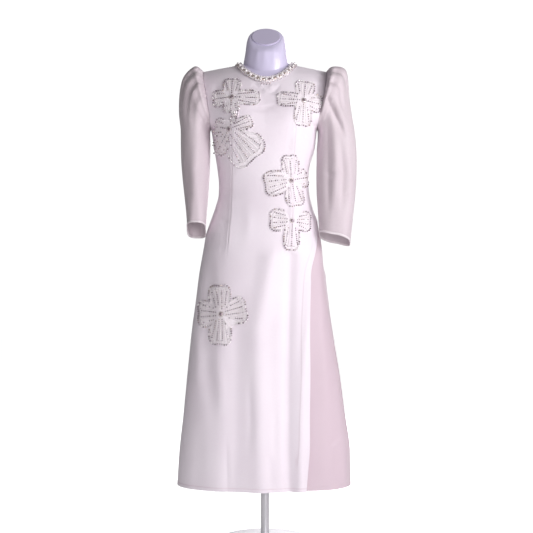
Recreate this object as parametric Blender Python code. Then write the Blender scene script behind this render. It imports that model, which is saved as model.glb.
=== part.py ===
"""Ao dai tunic on a limbless dress form.

Metres, +Z up. The tunic faces -Y and +X is at the viewer's right. The origin is the
centre of the underside of the form's round base.

Every cloth piece is a thin wall whose outer points lie on one shared surface, so that
neighbouring pieces meet at their seams with a gap of 0.3 mm. A place on that surface is
given by the side (front or back), by how far across it lies, and by its height.
"""

import math
from typing import NamedTuple

import bmesh
import bpy
import numpy as np
from mathutils import Matrix, Vector
from mathutils.bvhtree import BVHTree

FRONT = -1
BACK = 1

# Driving dimensions
HEM_Z = 0.180
HEM_BAND = 0.010
SLIT_TOP_Z = 0.985
ARMPIT_Z = 1.240
CHEST_Z = 1.320
SHOULDER_Z = 1.416
SHOULDER_HALF = 0.1845
NECK_HALF = 0.0747
NECK_SHIFT = 0.0045
FRONT_NECK_Z = 1.386
BACK_NECK_Z = 1.427
SATIN_WALL = 0.0015
ORGANZA_WALL = 0.0011
HEM_THICKENING = 1.5
SEAM_GAP = 0.0003
ARMHOLE_GAP = 0.0004
ROUNDNESS = 2.3
NORMAL_STEP = 0.0006

# The stand
FORM_BOTTOM_Z = 0.780
FORM_LEVELS = (FORM_BOTTOM_Z, 0.87, 0.94, 1.00, 1.06, 1.15, ARMPIT_Z)
FORM_INSET = 0.0075
FORM_HIP_INSET = 0.0240
FORM_SHOULDER_INSET = 0.0036
FORM_SEAT_INSET = 0.0021
NECK_ROOT_INSET = 0.0070
NECK_ROOT_DROP = 0.0032
NECK_CENTRE = (0.003, 0.004)
CAP_CENTRE = (0.003, -0.002, 1.517)
CAP_TILT = math.radians(45.0)
CAP_RADIUS = 0.0425
CAP_THICKNESS = 0.003
SOCKET_RADIUS = 0.030
SOCKET_HEIGHT = 0.045
POLE_RADIUS = 0.0125
BASE_RADIUS = 0.155
BASE_HEIGHT = 0.012


class Section(NamedTuple):
    """One level of the body surface: side edges, middle line and depths from it."""

    z: float
    left: float
    right: float
    middle: float
    front: float
    back: float


BODY_SECTIONS = (
    Section(0.180, -0.2625, 0.2560, 0.000, 0.136, 0.132),
    Section(0.276, -0.2565, 0.2545, 0.000, 0.134, 0.129),
    Section(0.400, -0.2430, 0.2380, 0.000, 0.131, 0.125),
    Section(0.510, -0.2325, 0.2235, 0.000, 0.128, 0.122),
    Section(0.640, -0.2190, 0.2010, 0.000, 0.124, 0.118),
    Section(0.730, -0.2070, 0.1870, 0.000, 0.121, 0.115),
    Section(0.810, -0.1970, 0.1770, 0.000, 0.118, 0.113),
    Section(0.890, -0.1830, 0.1700, 0.000, 0.115, 0.110),
    Section(0.924, -0.1770, 0.1650, 0.000, 0.112, 0.106),
    Section(0.960, -0.1650, 0.1590, 0.000, 0.108, 0.099),
    Section(1.005, -0.1490, 0.1430, 0.000, 0.100, 0.084),
    Section(1.044, -0.1390, 0.1340, 0.000, 0.093, 0.071),
    Section(1.074, -0.1380, 0.1310, 0.000, 0.090, 0.066),
    Section(1.116, -0.1420, 0.1320, 0.000, 0.094, 0.068),
    Section(1.186, -0.1530, 0.1500, 0.000, 0.106, 0.080),
    Section(1.240, -0.1620, 0.1560, 0.000, 0.117, 0.092),
    Section(1.270, -0.1930, 0.1900, 0.002, 0.119, 0.093),
    Section(1.300, -0.2090, 0.2070, 0.004, 0.116, 0.091),
    Section(1.340, -0.2170, 0.2170, 0.007, 0.107, 0.087),
    Section(1.380, -0.2120, 0.2120, 0.010, 0.094, 0.081),
    Section(1.400, -0.2000, 0.2000, 0.011, 0.086, 0.077),
    Section(1.416, -0.1850, 0.1850, 0.012, 0.078, 0.074),
    Section(1.450, -0.1850, 0.1850, 0.012, 0.072, 0.072),
    Section(1.510, -0.1850, 0.1850, 0.012, 0.068, 0.068),
)


class Armhole(NamedTuple):
    """How far from the middle a body panel reaches at a level above the armpit."""

    z: float
    reach: float


ARMHOLE = (
    Armhole(1.2400, 0.1590),
    Armhole(1.2600, 0.1590),
    Armhole(1.2800, 0.1615),
    Armhole(1.3000, 0.1655),
    Armhole(1.3250, 0.1705),
    Armhole(1.3500, 0.1755),
    Armhole(1.3800, 0.1810),
    Armhole(1.4000, 0.1835),
    Armhole(1.4160, 0.1845),
)


class SkirtEdges(NamedTuple):
    """Angles of the slit edges, in degrees from the front, right side positive."""

    z: float
    front_left: float
    front_right: float
    back_left: float
    back_right: float


SKIRT_EDGES = (
    SkirtEdges(0.180, -94.0, 27.0, -116.0, 22.0),
    SkirtEdges(0.276, -94.0, 29.0, -115.0, 24.0),
    SkirtEdges(0.420, -95.0, 32.0, -113.0, 26.5),
    SkirtEdges(0.530, -95.0, 35.0, -111.0, 29.0),
    SkirtEdges(0.640, -95.0, 38.6, -108.0, 32.0),
    SkirtEdges(0.750, -94.5, 43.6, -105.0, 36.5),
    SkirtEdges(0.820, -94.0, 48.0, -102.0, 40.5),
    SkirtEdges(0.873, -93.0, 57.0, -99.5, 49.0),
    SkirtEdges(0.920, -92.0, 67.0, -96.5, 60.5),
    SkirtEdges(0.950, -91.0, 76.0, -94.0, 76.6),
    SkirtEdges(0.985, -90.0, 90.0, -90.0, 90.0),
    SkirtEdges(1.240, -90.0, 90.0, -90.0, 90.0),
)
TUCK_DEPTH = 0.0100
TUCK_FADE = 22.0
EDGE_LIFT = 0.0030
EDGE_FADE = 14.0


class Fold(NamedTuple):
    """A soft ridge along a path of (x, z) places, or a trough where height is below 0."""

    path: tuple
    width: float
    height: float


FRONT_FOLDS = (
    Fold(((-0.171, 0.920), (-0.162, 0.778), (-0.168, 0.470), (-0.118, 0.360)), 0.018, -0.008),
    Fold(((-0.084, 0.740), (-0.081, 0.330), (-0.100, 0.170)), 0.021, -0.009),
    Fold(((0.017, 0.850), (-0.020, 0.650), (-0.010, 0.160)), 0.030, 0.009),
    Fold(((0.075, 0.860), (0.066, 0.560), (0.064, 0.300), (0.070, 0.160)), 0.017, -0.009),
    Fold(((0.136, 0.780), (0.108, 0.500), (0.101, 0.160)), 0.014, 0.004),
    Fold(((-0.128, 0.330), (-0.140, 0.160)), 0.020, 0.006),
)
BACK_FOLDS = (
    Fold(((-0.075, 0.850), (-0.090, 0.500), (-0.098, 0.160)), 0.024, -0.009),
    Fold(((0.002, 0.800), (0.010, 0.450), (0.006, 0.160)), 0.032, 0.008),
    Fold(((0.080, 0.840), (0.090, 0.500), (0.100, 0.160)), 0.024, -0.009),
    Fold(((0.165, 0.800), (0.190, 0.400), (0.200, 0.160)), 0.022, 0.006),
    Fold(((-0.165, 0.760), (-0.185, 0.400), (-0.200, 0.160)), 0.022, 0.006),
)
BUST_X = 0.086
BUST_Z = 1.262
BUST_WIDTH = 0.050
BUST_HEIGHT = 0.058
BUST_RISE = 0.011


class SleeveRing(NamedTuple):
    """One ring of a sleeve: an ellipse between its outer and inner edge points."""

    outer_x: float
    outer_z: float
    inner_x: float
    inner_z: float
    middle_y: float
    half_depth: float
    front_rise: float
    gather: float


LEFT_SLEEVE = (
    SleeveRing(-0.2052, 1.4266, -0.1635, 1.2375, -0.003, 0.092, 0.000, 0.0030),
    SleeveRing(-0.2253, 1.4150, -0.1640, 1.2350, -0.003, 0.091, 0.000, 0.0045),
    SleeveRing(-0.2432, 1.3930, -0.1642, 1.2315, -0.004, 0.088, 0.000, 0.0040),
    SleeveRing(-0.2520, 1.3657, -0.1642, 1.2270, -0.004, 0.083, 0.000, 0.0026),
    SleeveRing(-0.2565, 1.3295, -0.1640, 1.2210, -0.006, 0.077, 0.000, 0.0014),
    SleeveRing(-0.2568, 1.2847, -0.1635, 1.2110, -0.009, 0.072, 0.000, 0.0006),
    SleeveRing(-0.2520, 1.2395, -0.1630, 1.1960, -0.013, 0.068, 0.000, 0.0),
    SleeveRing(-0.2510, 1.1945, -0.1630, 1.1700, -0.019, 0.066, 0.000, 0.0),
    SleeveRing(-0.2490, 1.1400, -0.1632, 1.1250, -0.028, 0.063, 0.000, 0.0),
    SleeveRing(-0.2440, 1.0850, -0.1650, 1.0780, -0.036, 0.060, 0.000, 0.0),
    SleeveRing(-0.2375, 1.0295, -0.1685, 1.0260, -0.045, 0.057, 0.003, 0.0),
    SleeveRing(-0.2325, 0.9845, -0.1725, 0.9830, -0.051, 0.053, 0.011, 0.0),
    SleeveRing(-0.2300, 0.9470, -0.1748, 0.9450, -0.055, 0.051, 0.021, 0.0),
    SleeveRing(-0.2297, 0.9370, -0.1750, 0.9350, -0.055, 0.051, 0.022, 0.0),
)
RIGHT_SLEEVE = (
    SleeveRing(0.1985, 1.4245, 0.1575, 1.2375, -0.003, 0.092, 0.000, 0.0030),
    SleeveRing(0.2190, 1.4250, 0.1580, 1.2340, -0.003, 0.091, 0.000, 0.0045),
    SleeveRing(0.2373, 1.4180, 0.1582, 1.2300, -0.004, 0.088, 0.000, 0.0042),
    SleeveRing(0.2459, 1.4000, 0.1582, 1.2250, -0.004, 0.083, 0.000, 0.0032),
    SleeveRing(0.2500, 1.3659, 0.1580, 1.2180, -0.006, 0.076, 0.000, 0.0018),
    SleeveRing(0.2535, 1.3250, 0.1575, 1.2100, -0.009, 0.069, 0.000, 0.0008),
    SleeveRing(0.2603, 1.2784, 0.1565, 1.1980, -0.013, 0.062, 0.000, 0.0),
    SleeveRing(0.2680, 1.2275, 0.1545, 1.1780, -0.018, 0.057, 0.000, 0.0),
    SleeveRing(0.2727, 1.1650, 0.1535, 1.1400, -0.026, 0.053, 0.000, 0.0),
    SleeveRing(0.2720, 1.1050, 0.1525, 1.0950, -0.034, 0.049, 0.000, 0.0),
    SleeveRing(0.2680, 1.0450, 0.1530, 1.0450, -0.043, 0.045, 0.001, 0.0),
    SleeveRing(0.2612, 0.9850, 0.1560, 0.9950, -0.051, 0.040, 0.003, 0.0),
    SleeveRing(0.2525, 0.9080, 0.1600, 0.9360, -0.058, 0.035, 0.008, 0.0),
    SleeveRing(0.2505, 0.8975, 0.1605, 0.9260, -0.058, 0.034, 0.008, 0.0),
)


class Petal(NamedTuple):
    """One petal: its direction, its length and half the angle that it fills."""

    turn: float
    length: float
    spread: float


class Flower(NamedTuple):
    """One embroidered flower: its middle and its petals, in the order of their turn."""

    x: float
    z: float
    petals: tuple


FLOWERS = (
    Flower(
        -0.0970,
        1.3225,
        (Petal(-3, 0.087, 30), Petal(85, 0.056, 42), Petal(190, 0.057, 38), Petal(268, 0.049, 36)),
    ),
    Flower(
        -0.1037,
        1.2300,
        (
            Petal(12, 0.078, 20),
            Petal(50, 0.050, 20),
            Petal(165, 0.046, 36),
            Petal(238, 0.066, 30),
            Petal(310, 0.108, 40),
        ),
    ),
    Flower(
        0.1127,
        1.3129,
        (Petal(93, 0.053, 44), Petal(178, 0.080, 32), Petal(266, 0.073, 34), Petal(345, 0.050, 40)),
    ),
    Flower(
        0.0769,
        1.0823,
        (Petal(18, 0.046, 38), Petal(92, 0.074, 34), Petal(197, 0.081, 44), Petal(280, 0.080, 34)),
    ),
    Flower(
        0.0789,
        0.9631,
        (Petal(180, 0.067, 44), Petal(268, 0.086, 30), Petal(355, 0.056, 42)),
    ),
    Flower(
        -0.1273,
        0.6920,
        (Petal(4, 0.078, 40), Petal(86, 0.085, 40), Petal(186, 0.069, 42), Petal(270, 0.090, 38)),
    ),
)
FLOWER_CORE = 0.024
PETAL_POWER = 0.45
PETAL_DENT = 0.07
PETAL_COLUMNS = (-0.95, -0.80, -0.45, 0.0, 0.45, 0.80, 0.95)
SEAM_MARGIN = 0.004
PLATE_GAP = 0.0008
PLATE_THICKNESS = 0.0012
STONE_RADIUS = 0.0060
STONE_RISE = 0.0030

TRIM_WIDTH = 0.0180
TRIM_STONES = 32
TRIM_GAP = 0.0009
STONE_HEIGHT = 0.0036
PEARL_HEIGHT = 0.0031
BAND_HEIGHT = 0.0013

ZIP_Z = 1.392
PIN_HEIGHT = 3.8
ZIP_SEAT = 0.0004

NECK_COLUMNS = 6
SHOULDER_COLUMNS = 6
UPPER_ROWS = 14
SLEEVE_COLUMNS = 2 * UPPER_ROWS
NECK_U = NECK_HALF / SHOULDER_HALF
SKIRT_LEVELS = tuple(HEM_Z + HEM_BAND + step for step in np.linspace(0.0, 0.760, 13))
BODICE_LEVELS = (SLIT_TOP_Z, 1.025, 1.065, 1.110, 1.155, 1.200, ARMPIT_Z)
PANEL_LEVELS = (HEM_Z,) + SKIRT_LEVELS + BODICE_LEVELS


class Profile:
    """Smooth curves through a table's rows, read by height, that never overshoot."""

    def __init__(self, rows):
        self.row_type = type(rows[0])
        table = np.array(rows, float)
        self.heights = table[:, 0]
        self.values = table[:, 1:]
        secants = np.diff(self.values, axis=0) / np.diff(self.heights)[:, None]
        product = secants[1:] * secants[:-1]
        total = secants[1:] + secants[:-1]
        inner = np.where(product > 0, 2 * product / np.where(product > 0, total, 1), 0.0)
        self.slopes = np.vstack([secants[:1], inner, secants[-1:]])

    def at(self, height):
        """Give the table's row at a height."""
        height = min(max(height, self.heights[0]), self.heights[-1])
        i = int(np.clip(np.searchsorted(self.heights, height) - 1, 0, len(self.heights) - 2))
        step = self.heights[i + 1] - self.heights[i]
        s = (height - self.heights[i]) / step
        start = (1 + 2 * s) * (1 - s) ** 2 * self.values[i]
        end = s * s * (3 - 2 * s) * self.values[i + 1]
        turn = s * (1 - s) * step * ((1 - s) * self.slopes[i] - s * self.slopes[i + 1])
        return self.row_type(height, *(start + end + turn))


BODY = Profile(BODY_SECTIONS)
ARMHOLE_EDGE = Profile(ARMHOLE)
EDGES = Profile(SKIRT_EDGES)


def clear_scene():
    """Remove every object of the scene."""
    for scene_object in list(bpy.data.objects):
        bpy.data.objects.remove(scene_object)


def mix(start, end, share):
    """Blend two numbers."""
    return start + (end - start) * share


def smooth_step(low, high, value):
    """Rise smoothly from 0 at low to 1 at high; low may be the larger."""
    share = min(max((value - low) / (high - low), 0.0), 1.0)
    return share * share * (3 - 2 * share)


def signed_power(value, power):
    """Raise the size of a number to a power and keep its sign."""
    return math.copysign(abs(value) ** power, value)


# The shared body surface


def ridge_z(x):
    """Height of the shoulder line, which climbs towards the neck."""
    away = abs(x)
    line = 1.434 - 0.19 * (away - 0.09)
    return line + 0.049 * max(1 - away / 0.09, 0.0) ** 1.33


def path_distance(path, x, z):
    """Distance from a place to a path of straight stretches."""
    place = Vector((x, z))
    nearest = math.inf
    for start, end in zip(path, path[1:]):
        start = Vector(start)
        stretch = Vector(end) - start
        share = min(max((place - start).dot(stretch) / stretch.length_squared, 0.0), 1.0)
        nearest = min(nearest, (place - start - stretch * share).length)
    return nearest


def fold_rise(side, x, z):
    """Sum of the folds of one side at a place."""
    folds = FRONT_FOLDS if side == FRONT else BACK_FOLDS
    total = 0.0
    for fold in folds:
        total += fold.height * math.exp(-((path_distance(fold.path, x, z) / fold.width) ** 2))
    return total * smooth_step(0.98, 0.86, z)


def bust_rise(side, x, z):
    """Rise of the two rounded bust fullnesses above the front."""
    if side != FRONT:
        return 0.0
    across = (abs(x) - BUST_X) / BUST_WIDTH
    along = (z - BUST_Z) / BUST_HEIGHT
    return BUST_RISE * math.exp(-across * across - along * along)


def body_point(side, t, z, inset=0.0, lift=0.0, folds=True):
    """A point of the body surface.

    t runs from -1 at the left edge of the level to 1 at its right edge. inset shrinks
    the surface for what lies inside it, and lift moves the point outwards.
    """
    level = BODY.at(z)
    half = (level.right - level.left) / 2 - inset
    depth = (level.front if side == FRONT else level.back) - inset
    sine = signed_power(t, ROUNDNESS / 2)
    cosine = math.sqrt(max(1 - sine * sine, 0.0))
    x = (level.right + level.left) / 2 + half * t
    climb = (z - CHEST_Z) / (ridge_z(x) - min(inset, FORM_SEAT_INSET) - CHEST_Z)
    taper = math.sqrt(max(1 - max(climb, 0.0) ** 3, 0.0))
    y = level.middle + side * depth * cosine ** (2 / ROUNDNESS) * taper
    outward = Vector((sine / half, side * cosine / depth, 0.0)).normalized()
    rise = lift + bust_rise(side, x, z) * cosine
    if folds:
        rise += fold_rise(side, x, z)
    sway = NECK_SHIFT * (1 - min(abs(x) / SHOULDER_HALF, 1.0) ** 2) * smooth_step(1.30, 1.38, z)
    return Vector((x + sway, y, z)) + outward * rise


def angle_place(degrees):
    """Side and place across for an angle round the body, 0 at the front."""
    turn = math.radians(degrees)
    side = FRONT if math.cos(turn) >= 0 else BACK
    return side, signed_power(math.sin(turn), 2 / ROUNDNESS)


def neckline_z(side, u):
    """Height of the top edge of a panel at a column: shoulder line or neckline."""
    away = abs(u) / NECK_U
    if away >= 1:
        return ridge_z(SHOULDER_HALF * u)
    end = ridge_z(NECK_HALF)
    middle = FRONT_NECK_Z if side == FRONT else BACK_NECK_Z
    return end - (end - middle) * (1 - away * away) ** 0.8


def upper_place(side, u, v):
    """Place across and height for a column u and a share v of the way up the armhole."""
    climb = (1 - math.cos(math.pi * v)) / 2
    reach = ARMHOLE_EDGE.at(mix(ARMPIT_Z, SHOULDER_Z, climb)).reach
    z = mix(ARMPIT_Z, neckline_z(side, u), climb)
    level = BODY.at(z)
    rounded = signed_power(math.sin(u * math.pi / 2), 2 / ROUNDNESS)
    across = mix(rounded, u, smooth_step(0.0, 0.5, v))
    t = reach * across / ((level.right - level.left) / 2)
    return min(max(t, -1.0), 1.0), z


def upper_normal(side, t, z):
    """Outward direction of the surface above the armpit, also on the shoulder line."""
    level = BODY.at(z)
    x = (level.right + level.left) / 2 + t * (level.right - level.left) / 2
    down = side * math.sqrt(max(ridge_z(x) - z, 0.0))

    def place(step_x, step_down):
        new_down = down + step_down
        new_z = ridge_z(x + step_x) - new_down * new_down
        new_side = BACK if new_down > 0 else FRONT
        new_level = BODY.at(new_z)
        half = (new_level.right - new_level.left) / 2
        centre = (new_level.right + new_level.left) / 2
        new_t = min(max((x + step_x - centre) / half, -1.0), 1.0)
        return body_point(new_side, new_t, new_z)

    across = place(NORMAL_STEP, 0.0) - place(-NORMAL_STEP, 0.0)
    over = place(0.0, NORMAL_STEP) - place(0.0, -NORMAL_STEP)
    return across.cross(over).normalized()


def lower_normal(point_at, degrees, z):
    """Outward direction of a panel below the armpit, from its own points."""
    around = point_at(degrees + 0.25, z) - point_at(degrees - 0.25, z)
    up = point_at(degrees, min(z + 0.0005, ARMPIT_Z)) - point_at(degrees, z - 0.0005)
    return around.cross(up).normalized()


# Making solids


def new_object(name, mesh, material):
    """Put a finished mesh in the scene under its name."""
    mesh.name = name
    mesh.materials.append(material)
    piece = bpy.data.objects.new(name, mesh)
    bpy.context.scene.collection.objects.link(piece)
    mesh.shade_smooth()
    mesh.set_sharp_from_angle(angle=math.radians(40.0))
    return piece


def finish_mesh(shape):
    """Merge coincident points, turn the faces outwards and give the mesh."""
    bmesh.ops.remove_doubles(shape, verts=shape.verts, dist=1e-6)
    loose = [edge for edge in shape.edges if not edge.link_faces]
    bmesh.ops.delete(shape, geom=loose, context="EDGES")
    bmesh.ops.triangulate(shape, faces=shape.faces)
    bmesh.ops.recalc_face_normals(shape, faces=shape.faces)
    mesh = bpy.data.meshes.new("shape")
    shape.to_mesh(mesh)
    shape.free()
    return mesh


def strip_faces(shape, first, second, closed):
    """Join two rows of points with quads."""
    count = len(first)
    for i in range(count if closed else count - 1):
        j = (i + 1) % count
        shape.faces.new((first[i], first[j], second[j], second[i]))


def solid_between(outer, inner, closed=False):
    """A closed wall between two grids of points with equal rows and columns."""
    shape = bmesh.new()
    grids = [[[shape.verts.new(point) for point in row] for row in grid] for grid in (outer, inner)]
    for grid in grids:
        for lower, upper in zip(grid, grid[1:]):
            strip_faces(shape, lower, upper, closed)
    for row in (0, -1):
        strip_faces(shape, grids[0][row], grids[1][row], closed)
    if not closed:
        for column in (0, -1):
            strip_faces(
                shape, [row[column] for row in grids[0]], [row[column] for row in grids[1]], False
            )
    return finish_mesh(shape)


def join_meshes(base, others, operation="UNION"):
    """Apply exact Booleans to an object and remove the others."""
    for other in others:
        step = base.modifiers.new("join", "BOOLEAN")
        step.operation = operation
        step.object = other
    graph = bpy.context.evaluated_depsgraph_get()
    mesh = bpy.data.meshes.new_from_object(base.evaluated_get(graph))
    base.modifiers.clear()
    base.data = mesh
    for other in others:
        bpy.data.objects.remove(other)


def turned_mesh(profile, columns):
    """A closed turned solid from (radius, height) points that start and end on its axis."""
    shape = bmesh.new()
    points = [shape.verts.new((radius, 0.0, height)) for radius, height in profile]
    edges = [shape.edges.new(pair) for pair in zip(points, points[1:])]
    bmesh.ops.spin(
        shape,
        geom=points + edges,
        cent=(0.0, 0.0, 0.0),
        axis=(0.0, 0.0, 1.0),
        angle=math.tau,
        steps=columns,
        use_merge=True,
    )
    return finish_mesh(shape)


def box_object(name, low, high, material):
    """A plain box between two corners."""
    shape = bmesh.new()
    bmesh.ops.create_cube(shape, size=1.0)
    low = Vector(low)
    high = Vector(high)
    bmesh.ops.scale(shape, vec=high - low, verts=shape.verts)
    bmesh.ops.translate(shape, vec=(low + high) / 2, verts=shape.verts)
    return new_object(name, finish_mesh(shape), material)


def cylinder_object(name, radius, length, centre, material, columns=16):
    """A cylinder along X round a centre."""
    shape = bmesh.new()
    bmesh.ops.create_cone(
        shape, cap_ends=True, segments=columns, radius1=radius, radius2=radius, depth=length
    )
    bmesh.ops.rotate(shape, matrix=Matrix.Rotation(math.pi / 2, 3, "Y"), verts=shape.verts)
    bmesh.ops.translate(shape, vec=centre, verts=shape.verts)
    return new_object(name, finish_mesh(shape), material)


def paint(name, colour, roughness, metallic=0.0):
    """A material for a kind of piece."""
    material = bpy.data.materials.new(name)
    material.use_nodes = True
    shader = material.node_tree.nodes["Principled BSDF"]
    shader.inputs["Base Color"].default_value = (*colour, 1.0)
    shader.inputs["Roughness"].default_value = roughness
    shader.inputs["Metallic"].default_value = metallic
    return material


# The cloth


def panel_columns(start, end):
    """Columns across a panel, with one on each end of the neckline."""
    inner = NECK_U * np.sin(np.linspace(0.0, math.pi / 2, NECK_COLUMNS + 1))
    outer = np.linspace(NECK_U, 1.0, SHOULDER_COLUMNS + 1)[1:]
    half = np.concatenate([inner, outer])
    both = np.concatenate([-half[:0:-1], half])
    return [u for u in both if start <= u <= end]


def front_point(degrees, z):
    """A point of the front below the armpit; its slit edge lifts a little."""
    side, t = angle_place(degrees)
    edge = EDGES.at(z).front_right
    near_edge = smooth_step(edge - EDGE_FADE, edge, degrees)
    lift = EDGE_LIFT * near_edge * smooth_step(0.95, 0.85, z)
    return body_point(side, t, z, lift=lift)


def back_point(degrees, z):
    """A point of the back below the armpit; it tucks in behind the front's slit edge."""
    side, t = angle_place(degrees)
    edge = EDGES.at(z).front_right
    tuck = TUCK_DEPTH * smooth_step(0.985, 0.915, z)
    if degrees > 0:
        tuck *= smooth_step(edge + TUCK_FADE, edge, degrees)
    else:
        tuck = 0.0
    return body_point(side, t, z, lift=-tuck)


def panel_grids(side, columns, angle_at, point_at, nudge):
    """Outer and inner points of a body panel, from the hem to its top edge."""
    nudge = Vector(nudge)
    outer = []
    inner = []
    for z in PANEL_LEVELS:
        thickness = SATIN_WALL * (HEM_THICKENING if z <= HEM_Z + HEM_BAND else 1.0)
        outer_row = []
        inner_row = []
        for u in columns:
            degrees = angle_at(u, z)
            point = point_at(degrees, z) + nudge
            outer_row.append(point)
            inner_row.append(point - lower_normal(point_at, degrees, z) * thickness)
        outer.append(outer_row)
        inner.append(inner_row)
    for row in range(1, UPPER_ROWS + 1):
        outer_row = []
        inner_row = []
        for u in columns:
            t, z = upper_place(side, u, row / UPPER_ROWS)
            point = body_point(side, t, z) + nudge
            outer_row.append(point)
            inner_row.append(point - upper_normal(side, t, z) * SATIN_WALL)
        outer.append(outer_row)
        inner.append(inner_row)
    return outer, inner


def make_front(satin):
    """The front panel, from its left side seam to its right one."""

    def angle_at(u, z):
        edges = EDGES.at(z)
        return mix(edges.front_left, edges.front_right, (u + 1) / 2)

    outer, inner = panel_grids(
        FRONT, panel_columns(-1.0, 1.0), angle_at, front_point, (0.0, -SEAM_GAP / 2, 0.0)
    )
    return new_object("front_panel", solid_between(outer, inner), satin)


def make_back(name, hand, satin):
    """One half of the back, from the centre back seam to the side seam."""

    def angle_at(u, z):
        edges = EDGES.at(z)
        if hand > 0:
            return mix(180.0, edges.back_right, u)
        return mix(-180.0, edges.back_left, -u)

    columns = panel_columns(0.0, 1.0) if hand > 0 else panel_columns(-1.0, 0.0)
    nudge = (hand * SEAM_GAP / 2, SEAM_GAP / 2, 0.0)
    outer, inner = panel_grids(BACK, columns, angle_at, back_point, nudge)
    return new_object(name, solid_between(outer, inner), satin)


def armhole_loop(hand):
    """Points of the armhole seam from the shoulder down the front and up the back."""
    loop = []
    for column in range(SLEEVE_COLUMNS):
        down = column / UPPER_ROWS
        side = FRONT if down <= 1 else BACK
        v = 1 - down if down <= 1 else down - 1
        t, z = upper_place(side, hand, v)
        loop.append(body_point(side, t, z) + Vector((hand * ARMHOLE_GAP, 0.0, 0.0)))
    return loop


def sleeve_ring_points(ring):
    """Points of one sleeve ring, gathered round the top of the cap."""
    outer = Vector((ring.outer_x, ring.middle_y, ring.outer_z))
    inner = Vector((ring.inner_x, ring.middle_y, ring.inner_z))
    centre = (outer + inner) / 2
    reach = (outer - inner) / 2
    points = []
    for column in range(SLEEVE_COLUMNS):
        turn = math.tau * column / SLEEVE_COLUMNS
        top = smooth_step(-0.35, 0.35, math.cos(turn))
        wave = (0.75 + 0.25 * math.cos(2.4 * column)) * (-1) ** column
        swell = 1 + ring.gather * top * wave / ring.half_depth
        point = centre + reach * math.cos(turn) * swell
        point.y -= ring.half_depth * math.sin(turn) * swell
        point.z += ring.front_rise * math.sin(turn)
        points.append(point)
    return points


def grid_normals(grid, hand):
    """Outward directions of a closed tube's points, from their neighbours."""
    points = np.array(grid)
    around = np.roll(points, -1, axis=1) - np.roll(points, 1, axis=1)
    along = np.gradient(points, axis=0)
    normals = np.cross(around, along) * hand
    normals[0, :, 0] = 0.0
    return normals / np.linalg.norm(normals, axis=2, keepdims=True)


def make_sleeve(name, hand, rings, organza):
    """A set-in sleeve: seam ring, gathered cap, arm and narrow cuff hem."""
    outer = [armhole_loop(hand)] + [sleeve_ring_points(ring) for ring in rings]
    normals = grid_normals(outer, hand)
    inner = []
    for row, (points, outward) in enumerate(zip(outer, normals)):
        at_cuff = row >= len(outer) - 2
        thickness = ORGANZA_WALL * (HEM_THICKENING if at_cuff else 1.0)
        inner.append([point - Vector(away) * thickness for point, away in zip(points, outward)])
    return new_object(name, solid_between(outer, inner, closed=True), organza)


# What lies on the cloth


def trim_place(turn, away):
    """Side, place across and height at an angle round the neck, away from its edge."""
    side = FRONT if math.sin(turn) >= 0 else BACK
    half = NECK_HALF + away
    end = ridge_z(half)
    middle = (FRONT_NECK_Z if side == FRONT else BACK_NECK_Z) - away * 1.1
    z = end - (end - middle) * abs(math.sin(turn)) ** 1.6
    level = BODY.at(z)
    x = half * math.cos(turn)
    z = min(z, ridge_z(x))
    return side, x / ((level.right - level.left) / 2), z


def make_trim(stones):
    """The jewelled band: alternating stones and pearls raised over a plain inside."""
    columns = 4 * TRIM_STONES
    heights = (STONE_HEIGHT, BAND_HEIGHT, PEARL_HEIGHT, BAND_HEIGHT)
    outer = []
    inner = []
    for share in (0.03, 0.5, 0.97):
        outer_row = []
        inner_row = []
        for column in range(columns):
            side, t, z = trim_place(math.tau * column / columns, TRIM_WIDTH * share)
            point = body_point(side, t, z)
            outward = upper_normal(side, t, z)
            height = heights[column % 4] if share == 0.5 else BAND_HEIGHT
            outer_row.append(point + outward * (TRIM_GAP + height))
            inner_row.append(point + outward * TRIM_GAP)
        outer.append(outer_row)
        inner.append(inner_row)
    return new_object("neck_trim", solid_between(outer, inner, closed=True), stones)


def petal_rim(flower):
    """Turn and reach of each column of a flower's outline; each petal's tip has a dent."""
    rim = []
    for petal in flower.petals:
        for column in PETAL_COLUMNS:
            lobe = math.cos(math.pi / 2 * column) ** PETAL_POWER
            lobe *= 1 - PETAL_DENT * math.exp(-((column / 0.25) ** 2))
            turn = math.radians(petal.turn + petal.spread * column)
            rim.append((turn, FLOWER_CORE + (petal.length - FLOWER_CORE) * lobe))
    return rim


def flower_mesh(flower, panel_tree, gap):
    """A flower plate made from the panel's points, moved out, with a centre stone."""
    outer = []
    inner = []
    for share in (0.0, None, 0.40, 0.70, 1.0):
        at_stone = not share
        outer_row = []
        inner_row = []
        for turn, rim in petal_rim(flower):
            reach = STONE_RADIUS if share is None else share * rim
            x = flower.x + reach * math.cos(turn)
            z = flower.z + reach * math.sin(turn)
            if z > ARMPIT_Z:
                limit = ARMHOLE_EDGE.at(z).reach - SEAM_MARGIN
                x = min(max(x, -limit), limit)
            place, facing, _, _ = panel_tree.ray_cast(Vector((x, -1.0, z)), Vector((0.0, 1.0, 0.0)))
            outward = (facing + Vector((0.0, -1.0, 0.0))).normalized()
            rise = STONE_RISE if at_stone else 0.0
            outer_row.append(place + outward * (gap + PLATE_THICKNESS + rise))
            inner_row.append(place + outward * gap)
        outer.append(outer_row)
        inner.append(inner_row)
    return solid_between(outer, inner, closed=True)


def mesh_tree(mesh):
    """A search tree of a mesh's faces."""
    shape = bmesh.new()
    shape.from_mesh(mesh)
    tree = BVHTree.FromBMesh(shape)
    shape.free()
    return tree


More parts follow.
